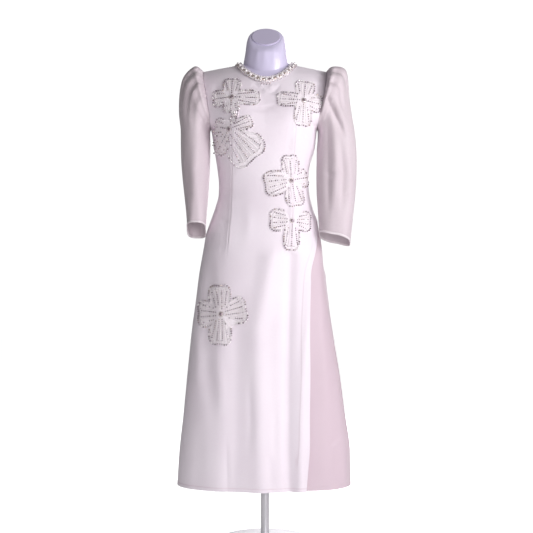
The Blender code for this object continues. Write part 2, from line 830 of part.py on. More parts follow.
def make_flowers(front, thread):
    """All flowers of the front, each as close to it as its straight edges allow."""
    panel_tree = mesh_tree(front.data)
    for number, flower in enumerate(FLOWERS, start=1):
        gap = PLATE_GAP
        mesh = flower_mesh(flower, panel_tree, gap)
        while mesh_tree(mesh).overlap(panel_tree):
            gap += PLATE_GAP / 8
            mesh = flower_mesh(flower, panel_tree, gap)
        new_object(f"flower_{number}", mesh, thread)


def zip_frame():
    """Placement of the zip's parts: out of the cloth along +Y, its length along Z."""
    level = BODY.at(ZIP_Z)
    t = -(level.right + level.left) / (level.right - level.left)
    seat = body_point(BACK, t, ZIP_Z)
    outward = upper_normal(BACK, t, ZIP_Z)
    lean = math.atan2(outward.z, outward.y)
    return Matrix.Translation(seat + outward * ZIP_SEAT) @ Matrix.Rotation(lean, 4, "X")


def make_zip(metal):
    """The zip's slider with ears and a pin, and its pull tab, which turns on the pin.

    They are joined at a thousand times their size, so the numbers here are millimetres.
    """
    frame = zip_frame()
    small = Matrix.Scale(0.001, 4)
    slider = box_object("zip_slider", (-2.6, 0.0, -5.5), (2.6, 1.9, 5.5), metal)
    ears = [
        box_object("ear", (low, 1.5, -1.4), (low + 0.7, PIN_HEIGHT + 1.0, 1.4), metal)
        for low in (-2.3, 1.6)
    ]
    pin = cylinder_object("pin", 0.45, 4.2, (0.0, PIN_HEIGHT, 0.0), metal, 12)
    join_meshes(slider, ears + [pin])
    slider.data.transform(frame @ small)

    pull = cylinder_object("zip_pull", 1.35, 2.4, (0.0, 0.0, 0.0), metal)
    neck = box_object("neck", (-1.0, -0.42, -4.4), (1.0, 0.42, -0.6), metal)
    tab = box_object("tab", (-2.4, -0.5, -18.0), (2.4, 0.5, -3.6), metal)
    join_meshes(pull, [neck, tab])
    bore = cylinder_object("bore", 0.8, 6.0, (0.0, 0.0, 0.0), metal)
    join_meshes(pull, [bore], "DIFFERENCE")
    pull.data.transform(Matrix.Rotation(frame.to_euler().x, 4, "X") @ small)
    pull.location = frame @ Vector((0.0, PIN_HEIGHT * 0.001, 0.0))


# The stand


def form_inset(z):
    """How far the form lies inside the cloth: close under the shoulders, looser below."""
    if z < ARMPIT_Z:
        return mix(FORM_INSET, FORM_HIP_INSET, smooth_step(0.990, 0.890, z))
    return mix(FORM_INSET, FORM_SHOULDER_INSET, smooth_step(1.32, 1.39, z))


def form_rows():
    """Front and back points of the form, row by row, up to its shoulder line."""
    columns = panel_columns(-1.0, 1.0)
    columns = [u for i, u in enumerate(columns) if i % 2 == 0 or 0.2 < abs(u) < 0.65]
    rows = []
    for z in FORM_LEVELS:
        inset = form_inset(z)
        rounded = [signed_power(u, 2 / ROUNDNESS) for u in columns]
        rows.append([[body_point(s, t, z, inset, folds=False) for t in rounded] for s in (FRONT, BACK)])
    for row in range(1, UPPER_ROWS + 1):
        climb = (1 - math.cos(math.pi * row / UPPER_ROWS)) / 2
        edge_z = mix(ARMPIT_Z, SHOULDER_Z - FORM_SEAT_INSET, climb)
        edge = BODY.at(edge_z)
        reach = (edge.right - edge.left) / 2
        pair = []
        for side in (FRONT, BACK):
            points = []
            for u in columns:
                x = reach * mix(signed_power(u, 2 / ROUNDNESS), u, smooth_step(0.1, 0.8, climb))
                near_neck = smooth_step(0.100, 0.080, abs(x))
                top = ridge_z(min(abs(x), reach)) - FORM_SEAT_INSET - NECK_ROOT_DROP * near_neck
                z = mix(ARMPIT_Z, min(top, 1.46), climb)
                z = edge_z if abs(u) > 0.9999 else z
                level = BODY.at(z)
                half = (level.right - level.left) / 2
                t = min(max(x / half, -1.0), 1.0)
                if row == UPPER_ROWS:
                    t = x / half
                hollow = NECK_ROOT_INSET * near_neck * climb
                points.append(body_point(side, t, z, form_inset(z) + hollow, folds=False))
            pair.append(points)
        if row == UPPER_ROWS:
            pair = [[(a + b) / 2 for a, b in zip(*pair)]] * 2
        rows.append(pair)
    return rows


def make_torso(shell):
    """The form's torso with shoulder stubs and neck, one moulded piece."""
    shape = bmesh.new()
    rings = []
    for front, back in form_rows():
        rings.append([shape.verts.new(point) for point in front + back[-2:0:-1]])
    for lower, upper in zip(rings, rings[1:]):
        strip_faces(shape, lower, upper, True)
    shape.faces.new(rings[0])
    torso = new_object("form_torso", finish_mesh(shape), shell)

    shape = bmesh.new()
    columns = 28
    rows = (
        (1.360, 0.0600, 0.0500),
        (1.400, 0.0680, 0.0590),
        (1.425, 0.0660, 0.0590),
        (1.445, 0.0628, 0.0570),
        (1.465, 0.0612, 0.0555),
        (1.490, 0.0608, 0.0550),
        (1.508, 0.0590, 0.0535),
        (1.526, 0.0530, 0.0480),
        (1.540, 0.0420, 0.0380),
        (1.549, 0.0250, 0.0225),
        (1.552, 0.0060, 0.0055),
    )
    rings = []
    for z, half, depth in rows:
        ring = []
        for column in range(columns):
            turn = math.tau * column / columns
            x = NECK_CENTRE[0] + half * math.cos(turn)
            ring.append(shape.verts.new((x, NECK_CENTRE[1] + depth * math.sin(turn), z)))
        rings.append(ring)
    for lower, upper in zip(rings, rings[1:]):
        strip_faces(shape, lower, upper, True)
    shape.faces.new(rings[0])
    shape.faces.new(rings[-1])
    facing = Vector((0.0, -math.sin(CAP_TILT), math.cos(CAP_TILT)))
    cut = bmesh.ops.bisect_plane(
        shape,
        geom=list(shape.verts) + list(shape.edges) + list(shape.faces),
        plane_co=CAP_CENTRE,
        plane_no=facing,
        clear_outer=True,
    )
    rim = [item for item in cut["geom_cut"] if isinstance(item, bmesh.types.BMEdge)]
    bmesh.ops.holes_fill(shape, edges=rim)
    neck = new_object("neck", finish_mesh(shape), shell)
    join_meshes(torso, [neck])
    return torso


def make_stand(shell, metal):
    """Neck cap, socket, pole and base."""
    half = CAP_THICKNESS / 2
    profile = (
        (0.0, -half),
        (CAP_RADIUS, -half),
        (CAP_RADIUS, half - 0.001),
        (CAP_RADIUS - 0.001, half),
        (0.0, half),
    )
    cap = new_object("form_neck_cap", turned_mesh(profile, 28), shell)
    facing = Vector((0.0, -math.sin(CAP_TILT), math.cos(CAP_TILT)))
    seat = Vector(CAP_CENTRE) + facing * (half + SEAM_GAP)
    cap.data.transform(Matrix.Translation(seat) @ Matrix.Rotation(CAP_TILT, 4, "X"))

    top = FORM_BOTTOM_Z - SEAM_GAP
    bottom = top - SOCKET_HEIGHT
    profile = (
        (0.0, bottom),
        (SOCKET_RADIUS * 0.7, bottom),
        (SOCKET_RADIUS, bottom + 0.008),
        (SOCKET_RADIUS, top),
        (0.0, top),
    )
    new_object("form_socket", turned_mesh(profile, 20), metal)
    foot = BASE_HEIGHT + SEAM_GAP
    profile = ((0.0, foot), (POLE_RADIUS, foot), (POLE_RADIUS, bottom - SEAM_GAP), (0.0, bottom - SEAM_GAP))
    new_object("form_pole", turned_mesh(profile, 20), metal)
    profile = (
        (0.0, 0.0),
        (BASE_RADIUS - 0.002, 0.0),
        (BASE_RADIUS, 0.002),
        (BASE_RADIUS, 0.005),
        (BASE_RADIUS - 0.010, 0.009),
        (0.050, BASE_HEIGHT),
        (0.0, BASE_HEIGHT),
    )
    new_object("form_base", turned_mesh(profile, 36), metal)


def main():
    """Build every piece."""
    clear_scene()
    satin = paint("satin_crepe", (0.86, 0.82, 0.84), 0.45)
    organza = paint("organza", (0.88, 0.85, 0.87), 0.50)
    stones = paint("stones", (0.45, 0.42, 0.44), 0.15, 0.4)
    thread = paint("thread", (0.88, 0.86, 0.88), 0.55)
    shell = paint("shell", (0.82, 0.82, 0.90), 0.25)
    metal = paint("metal", (0.80, 0.80, 0.82), 0.35, 0.6)
    front = make_front(satin)
    make_back("back_left", -1, satin)
    make_back("back_right", 1, satin)
    make_sleeve("sleeve_left", -1, LEFT_SLEEVE, organza)
    make_sleeve("sleeve_right", 1, RIGHT_SLEEVE, organza)
    make_trim(stones)
    make_flowers(front, thread)
    make_zip(metal)
    make_torso(shell)
    make_stand(shell, metal)


main()
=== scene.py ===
"""Looks of the ao dai tunic on its dress form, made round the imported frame.

Metres, +Z up, the tunic faces -Y. Every cloth piece is a fine grid laid over the same
surface as its solid, with its creases, seams and hems worked into it.
"""

import logging
import math
from dataclasses import dataclass, field
from enum import Enum

import bmesh
import bpy
import numpy as np
from mathutils import Matrix, Vector


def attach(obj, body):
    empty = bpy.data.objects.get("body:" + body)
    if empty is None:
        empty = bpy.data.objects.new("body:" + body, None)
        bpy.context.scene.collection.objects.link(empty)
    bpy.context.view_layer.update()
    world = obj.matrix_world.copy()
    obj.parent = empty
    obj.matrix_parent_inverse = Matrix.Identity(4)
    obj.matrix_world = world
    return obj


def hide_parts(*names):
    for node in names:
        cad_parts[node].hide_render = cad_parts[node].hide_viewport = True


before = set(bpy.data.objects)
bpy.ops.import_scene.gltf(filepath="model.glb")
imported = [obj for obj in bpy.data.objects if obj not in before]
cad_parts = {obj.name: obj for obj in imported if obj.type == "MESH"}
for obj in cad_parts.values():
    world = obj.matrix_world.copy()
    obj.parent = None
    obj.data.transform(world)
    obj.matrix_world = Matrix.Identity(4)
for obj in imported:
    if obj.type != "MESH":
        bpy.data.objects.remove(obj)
logging.basicConfig(level=logging.INFO, format="%(message)s")
LOG = logging.getLogger("tunic")

MAIN_BODY = "garment_on_form"
FRONT = -1.0
BACK = 1.0
HEM_Z = 0.180
HEM_BAND = 0.010
SLIT_TOP_Z = 0.985
ARMPIT_Z = 1.240
CHEST_Z = 1.320
SHOULDER_Z = 1.416
SHOULDER_HALF = 0.1845
NECK_HALF = 0.0747
NECK_SHIFT = 0.0045
FRONT_NECK_Z = 1.386
BACK_NECK_Z = 1.427
ROUNDNESS = 2.3
SEAM_GAP = 0.0003
ARMHOLE_GAP = 0.0004
TUCK_DEPTH = 0.0100
TUCK_FADE = 22.0
EDGE_LIFT = 0.0030
EDGE_FADE = 14.0
NECK_U = NECK_HALF / SHOULDER_HALF
TRIM_WIDTH = 0.0180
TRIM_STONES = 32
BUST_X = 0.086
BUST_Z = 1.262
BUST_WIDTH = 0.050
BUST_HEIGHT = 0.058
BUST_RISE = 0.011
SEAM_WIDTH = 0.0016
SEAM_DEPTH = 0.0009
HEM_TURN = 0.0005
# The next two set the width and strength of the painted shade lines along the stitched steps of turned hems
# and edges.
HEM_SHADE_WIDTH = 0.0011
STEP_SHADE = 0.40
SLIT_BAND = 0.0208
SMOKE, CHAMPAGNE, CRYSTAL, PEARL, SETTING = range(5)

BODY_ROWS = (
    (0.180, -0.2625, 0.2560, 0.000, 0.136, 0.132),
    (0.276, -0.2565, 0.2545, 0.000, 0.134, 0.129),
    (0.400, -0.2430, 0.2380, 0.000, 0.131, 0.125),
    (0.510, -0.2325, 0.2235, 0.000, 0.128, 0.122),
    (0.640, -0.2190, 0.2010, 0.000, 0.124, 0.118),
    (0.730, -0.2070, 0.1870, 0.000, 0.121, 0.115),
    (0.810, -0.1970, 0.1770, 0.000, 0.118, 0.113),
    (0.890, -0.1830, 0.1700, 0.000, 0.115, 0.110),
    (0.924, -0.1770, 0.1650, 0.000, 0.112, 0.106),
    (0.960, -0.1650, 0.1590, 0.000, 0.108, 0.099),
    (1.005, -0.1490, 0.1430, 0.000, 0.100, 0.084),
    (1.044, -0.1390, 0.1340, 0.000, 0.093, 0.071),
    (1.074, -0.1380, 0.1310, 0.000, 0.090, 0.066),
    (1.116, -0.1420, 0.1320, 0.000, 0.094, 0.068),
    (1.186, -0.1530, 0.1500, 0.000, 0.106, 0.080),
    (1.240, -0.1620, 0.1560, 0.000, 0.117, 0.092),
    (1.270, -0.1930, 0.1900, 0.002, 0.119, 0.093),
    (1.300, -0.2090, 0.2070, 0.004, 0.116, 0.091),
    (1.340, -0.2170, 0.2170, 0.007, 0.107, 0.087),
    (1.380, -0.2120, 0.2120, 0.010, 0.094, 0.081),
    (1.400, -0.2000, 0.2000, 0.011, 0.086, 0.077),
    (1.416, -0.1850, 0.1850, 0.012, 0.078, 0.074),
    (1.450, -0.1850, 0.1850, 0.012, 0.072, 0.072),
    (1.510, -0.1850, 0.1850, 0.012, 0.068, 0.068),
)
ARMHOLE_ROWS = (
    (1.2400, 0.1590),
    (1.2600, 0.1590),
    (1.2800, 0.1615),
    (1.3000, 0.1655),
    (1.3250, 0.1705),
    (1.3500, 0.1755),
    (1.3800, 0.1810),
    (1.4000, 0.1835),
    (1.4160, 0.1845),
)
EDGE_ROWS = (
    (0.180, -94.0, 24.8, -116.0, 20.0),
    (0.276, -94.0, 26.8, -115.0, 22.0),
    (0.420, -95.0, 30.4, -113.0, 25.0),
    (0.530, -95.0, 33.8, -111.0, 28.0),
    (0.640, -95.0, 37.7, -108.0, 31.4),
    (0.750, -94.5, 43.1, -105.0, 36.2),
    (0.820, -94.0, 48.0, -102.0, 40.5),
    (0.873, -93.0, 57.0, -99.5, 49.0),
    (0.920, -92.0, 67.0, -96.5, 60.5),
    (0.950, -91.0, 76.0, -94.0, 76.6),
    (0.985, -90.0, 90.0, -90.0, 90.0),
    (1.240, -90.0, 90.0, -90.0, 90.0),
)
LEFT_SLEEVE_ROWS = (
    (-0.2052, 1.4266, -0.1635, 1.2375, -0.003, 0.092, 0.000, 0.0030),
    (-0.2253, 1.4150, -0.1640, 1.2350, -0.003, 0.091, 0.000, 0.0045),
    (-0.2432, 1.3930, -0.1642, 1.2315, -0.004, 0.088, 0.000, 0.0040),
    (-0.2520, 1.3657, -0.1642, 1.2270, -0.004, 0.083, 0.000, 0.0026),
    (-0.2565, 1.3295, -0.1640, 1.2210, -0.006, 0.077, 0.000, 0.0014),
    (-0.2568, 1.2847, -0.1635, 1.2110, -0.009, 0.072, 0.000, 0.0006),
    (-0.2520, 1.2395, -0.1630, 1.1960, -0.013, 0.068, 0.000, 0.0),
    (-0.2510, 1.1945, -0.1630, 1.1700, -0.019, 0.066, 0.000, 0.0),
    (-0.2490, 1.1400, -0.1632, 1.1250, -0.028, 0.063, 0.000, 0.0),
    (-0.2440, 1.0850, -0.1650, 1.0780, -0.036, 0.060, 0.000, 0.0),
    (-0.2375, 1.0295, -0.1685, 1.0260, -0.045, 0.057, 0.003, 0.0),
    (-0.2325, 0.9845, -0.1725, 0.9830, -0.051, 0.053, 0.011, 0.0),
    (-0.2300, 0.9470, -0.1748, 0.9450, -0.055, 0.051, 0.021, 0.0),
    (-0.2297, 0.9370, -0.1750, 0.9350, -0.055, 0.051, 0.022, 0.0),
)
RIGHT_SLEEVE_ROWS = (
    (0.1985, 1.4245, 0.1575, 1.2375, -0.003, 0.092, 0.000, 0.0030),
    (0.2190, 1.4250, 0.1580, 1.2340, -0.003, 0.091, 0.000, 0.0045),
    (0.2373, 1.4180, 0.1582, 1.2300, -0.004, 0.088, 0.000, 0.0042),
    (0.2459, 1.4000, 0.1582, 1.2250, -0.004, 0.083, 0.000, 0.0032),
    (0.2500, 1.3659, 0.1580, 1.2180, -0.006, 0.076, 0.000, 0.0018),
    (0.2535, 1.3250, 0.1575, 1.2100, -0.009, 0.069, 0.000, 0.0008),
    (0.2603, 1.2784, 0.1565, 1.1980, -0.013, 0.062, 0.000, 0.0),
    (0.2680, 1.2275, 0.1545, 1.1780, -0.018, 0.057, 0.000, 0.0),
    (0.2727, 1.1650, 0.1535, 1.1400, -0.026, 0.053, 0.000, 0.0),
    (0.2720, 1.1050, 0.1525, 1.0950, -0.034, 0.049, 0.000, 0.0),
    (0.2680, 1.0450, 0.1530, 1.0450, -0.043, 0.045, 0.002, 0.0),
    (0.2612, 0.9850, 0.1560, 0.9950, -0.051, 0.040, 0.005, 0.0),
    (0.2525, 0.9080, 0.1600, 0.9340, -0.058, 0.037, 0.012, 0.0),
    (0.2505, 0.8975, 0.1605, 0.9240, -0.058, 0.036, 0.012, 0.0),
)


@dataclass(frozen=True)
class Crease:
    """A soft ridge along a path of (x, z) places, or a trough where height is below 0.

    fade is the share of the path over which each end runs out, and skew makes the
    slope on one side wider than on the other.
    """

    path: tuple
    width: float
    height: float
    fade: float = 0.0
    skew: float = 0.0


FRONT_FOLDS = (
    Crease(((-0.171, 0.920), (-0.162, 0.778), (-0.166, 0.520), (-0.140, 0.330)), 0.020, -0.0052, 0.30),
    Crease(((-0.084, 0.780), (-0.083, 0.330), (-0.096, 0.100)), 0.027, -0.0044, 0.12),
    Crease(((0.017, 0.850), (-0.020, 0.650), (-0.010, 0.160)), 0.030, 0.009),
    Crease(((0.075, 0.860), (0.066, 0.560), (0.064, 0.300), (0.070, 0.160)), 0.017, -0.009),
    Crease(((0.136, 0.780), (0.108, 0.500), (0.101, 0.160)), 0.014, 0.004),
    Crease(((-0.122, 0.420), (-0.134, 0.260), (-0.146, 0.080)), 0.022, 0.0012, 0.35),
)
BACK_FOLDS = (
    Crease(((-0.075, 0.850), (-0.090, 0.500), (-0.098, 0.160)), 0.024, -0.009),
    Crease(((0.002, 0.800), (0.010, 0.450), (0.006, 0.160)), 0.032, 0.008),
    Crease(((0.080, 0.840), (0.090, 0.500), (0.100, 0.160)), 0.024, -0.009),
    Crease(((0.165, 0.800), (0.190, 0.400), (0.200, 0.160)), 0.022, 0.006),
    Crease(((-0.165, 0.760), (-0.185, 0.400), (-0.200, 0.160)), 0.022, 0.006),
)
FRONT_CREASES = (
    Crease(((-0.046, 1.368), (-0.020, 1.352), (0.002, 1.336)), 0.0060, -0.0030, 0.35, 0.4),
    Crease(((0.000, 1.334), (0.022, 1.337), (0.036, 1.352), (0.042, 1.366)), 0.0055, -0.0026, 0.35),
    Crease(((-0.030, 1.372), (-0.006, 1.352)), 0.0060, 0.0018, 0.40),
    Crease(((0.006, 1.350), (0.024, 1.360)), 0.0055, 0.0016, 0.40),
    Crease(((-0.052, 1.292), (-0.010, 1.287), (0.028, 1.296), (0.046, 1.303)), 0.0070, -0.0020, 0.35, 0.3),
    Crease(((-0.150, 1.372), (-0.141, 1.345), (-0.146, 1.320)), 0.0100, -0.0032, 0.40),
    Crease(((0.150, 1.384), (0.158, 1.350), (0.151, 1.310)), 0.0090, -0.0030, 0.40),
    Crease(((0.076, 1.270), (0.090, 1.236), (0.087, 1.200)), 0.0090, -0.0030, 0.45),
    Crease(((0.112, 1.236), (0.146, 1.166)), 0.0060, -0.0022, 0.35, 0.4),
    Crease(((-0.150, 1.150), (-0.128, 1.120), (-0.116, 1.085)), 0.0080, -0.0018, 0.45),
    Crease(((-0.134, 1.060), (-0.112, 1.052), (-0.090, 1.058)), 0.0060, -0.0015, 0.45),
    Crease(((0.128, 1.050), (0.108, 1.044), (0.092, 1.050)), 0.0060, -0.0014, 0.45),
    Crease(((-0.052, 1.030), (-0.046, 0.960), (-0.054, 0.890)), 0.0140, 0.0016, 0.45),
    Crease(((0.030, 1.020), (0.036, 0.930)), 0.0120, -0.0014, 0.45),
    Crease(((-0.146, 0.985), (-0.120, 0.960), (-0.100, 0.945)), 0.0080, -0.0018, 0.45),
    Crease(((-0.205, 0.700), (-0.196, 0.560), (-0.204, 0.430)), 0.0120, 0.0030, 0.40),
    Crease(((-0.140, 0.620), (-0.128, 0.480), (-0.134, 0.340)), 0.0130, 0.0024, 0.45),
    Crease(((-0.045, 0.560), (-0.040, 0.380), (-0.046, 0.250)), 0.0110, -0.0022, 0.45),
    Crease(((0.034, 0.480), (0.030, 0.330), (0.036, 0.200)), 0.0110, -0.0018, 0.45),
    Crease(((-0.112, 0.360), (-0.108, 0.120)), 0.0090, -0.0020, 0.45, 0.4),
    Crease(((-0.186, 0.400), (-0.200, 0.100)), 0.0150, -0.0022, 0.45),
    Crease(((0.012, 0.300), (0.018, 0.178)), 0.0120, -0.0020, 0.35),
)
BACK_CREASES = (
    Crease(((-0.120, 1.360), (-0.060, 1.330), (-0.018, 1.336)), 0.0110, -0.0020, 0.45),
    Crease(((0.126, 1.352), (0.070, 1.318), (0.020, 1.322)), 0.0120, -0.0018, 0.45),
    Crease(((-0.132, 1.074), (-0.080, 1.058), (-0.024, 1.070)), 0.0080, -0.0024, 0.40, 0.4),
    Crease(((0.020, 1.050), (0.074, 1.040), (0.126, 1.062)), 0.0080, -0.0022, 0.40, 0.4),
    Crease(((-0.110, 1.104), (-0.060, 1.096)), 0.0070, -0.0014, 0.45),
    Crease(((0.052, 1.090), (0.108, 1.100)), 0.0070, -0.0014, 0.45),
    Crease(((-0.048, 0.760), (-0.052, 0.460), (-0.060, 0.200)), 0.0130, -0.0026, 0.40),
    Crease(((0.050, 0.700), (0.058, 0.480), (0.052, 0.240)), 0.0130, -0.0024, 0.40),
    Crease(((0.130, 0.640), (0.142, 0.420), (0.150, 0.200)), 0.0120, 0.0030, 0.40),
    Crease(((-0.134, 0.600), (-0.144, 0.400), (-0.150, 0.220)), 0.0120, 0.0028, 0.40),
    Crease(((-0.214, 0.520), (-0.226, 0.300)), 0.0120, -0.0024, 0.40),
)
RIGHT_BACK_CREASES = (
    Crease(((0.232, 0.345), (0.206, 0.318), (0.184, 0.300)), 0.0080, -0.0034, 0.35, 0.4),
    Crease(((0.212, 0.420), (0.196, 0.330), (0.192, 0.190)), 0.0130, -0.0036, 0.35),
    Crease(((0.160, 0.700), (0.176, 0.520), (0.180, 0.360)), 0.0120, 0.0026, 0.40),
    Crease(((0.228, 0.300), (0.238, 0.182)), 0.0120, 0.0030, 0.30),
)
LEFT_DART = ((1.2615, -0.0970), (1.189, -0.0970), (1.116, -0.0959), (0.994, -0.0988), (0.858, -0.1110))
RIGHT_DART = ((1.262, 0.0790), (1.232, 0.0890), (1.180, 0.0848), (1.000, 0.0800), (0.860, 0.0755))
DART_WIDTH = 0.0013
DART_DEPTH = 0.0010


def smooth_step(low: float, high: float, value: np.ndarray) -> np.ndarray:
    """Rise smoothly from 0 at low to 1 at high; low may be the larger.

    Args:
        low: where the rise starts.
        high: where it ends.
        value: the places to read it at.

    Returns:
        The share of the rise at each place.
    """
    share = np.clip((np.asarray(value, float) - low) / (high - low), 0.0, 1.0)
    return share * share * (3 - 2 * share)


def signed_power(value: np.ndarray, power: float) -> np.ndarray:
    """Raise the size of numbers to a power and keep their signs."""
    return np.sign(value) * np.abs(value) ** power


def mix(start: np.ndarray, end: np.ndarray, share: np.ndarray) -> np.ndarray:
    """Blend two numbers or arrays."""
    return start + (end - start) * share


class Profile:
    """Smooth curves through a table's rows, read by height, that never overshoot."""

    def __init__(self, rows: tuple) -> None:
        """Keep a table and work out the slopes of its curves.

        Args:
            rows: the table, whose first column is the height.
        """
        table = np.array(rows, float)
        self.heights = table[:, 0]
        self.values = table[:, 1:]
        secants = np.diff(self.values, axis=0) / np.diff(self.heights)[:, None]
        product = secants[1:] * secants[:-1]
        total = secants[1:] + secants[:-1]
        inner = np.where(product > 0, 2 * product / np.where(product > 0, total, 1), 0.0)
        self.slopes = np.vstack([secants[:1], inner, secants[-1:]])

    def at(self, height: np.ndarray) -> list[np.ndarray]:
        """Read the table at some heights.

        Args:
            height: the heights, in any shape.

        Returns:
            One array of that shape for each column of the table.
        """
        height = np.clip(np.asarray(height, float), self.heights[0], self.heights[-1])
        i = np.clip(np.searchsorted(self.heights, height) - 1, 0, len(self.heights) - 2)
        step = self.heights[i + 1] - self.heights[i]
        s = (height - self.heights[i]) / step
        found = []
        for column in range(self.values.shape[1]):
            start = (1 + 2 * s) * (1 - s) ** 2 * self.values[i, column]
            end = s * s * (3 - 2 * s) * self.values[i + 1, column]
            turn = (1 - s) * self.slopes[i, column] - s * self.slopes[i + 1, column]
            found.append(start + end + s * (1 - s) * step * turn)
        return found


def crease_rise(creases: tuple, x: np.ndarray, z: np.ndarray) -> np.ndarray:
    """Sum of soft ridges and troughs at some places.

    Args:
        creases: the ridges and troughs.
        x: places across.
        z: heights.

    Returns:
        How far each place is moved outwards.
    """
    total = np.zeros(np.broadcast(x, z).shape)
    lowest = np.array([np.min(x), np.min(z)])
    highest = np.array([np.max(x), np.max(z)])
    for crease in creases:
        path = np.array(crease.path, float)
        reach = 4 * crease.width
        if np.any(path.max(axis=0) + reach < lowest) or np.any(path.min(axis=0) - reach > highest):
            continue
        steps = np.diff(path, axis=0)
        lengths = np.linalg.norm(steps, axis=1)
        starts = np.concatenate([[0.0], np.cumsum(lengths)])
        nearest = np.full(total.shape, np.inf)
        along = np.zeros(total.shape)
        beside = np.zeros(total.shape)
        for start, step, length, before in zip(path, steps, lengths, starts):
            off_x = x - start[0]
            off_z = z - start[1]
            share = np.clip((off_x * step[0] + off_z * step[1]) / length**2, 0.0, 1.0)
            gap = np.hypot(off_x - share * step[0], off_z - share * step[1])
            closer = gap < nearest
            nearest = np.where(closer, gap, nearest)
            along = np.where(closer, (before + share * length) / starts[-1], along)
            beside = np.where(closer, np.sign(off_x * step[1] - off_z * step[0]), beside)
        width = crease.width * (1 + crease.skew * beside)
        rise = crease.height * np.exp(-((nearest / width) ** 2))
        if crease.fade:
            rise = rise * smooth_step(0.0, crease.fade, along)
            rise = rise * smooth_step(1.0, 1 - crease.fade, along)
        total += rise
    return total


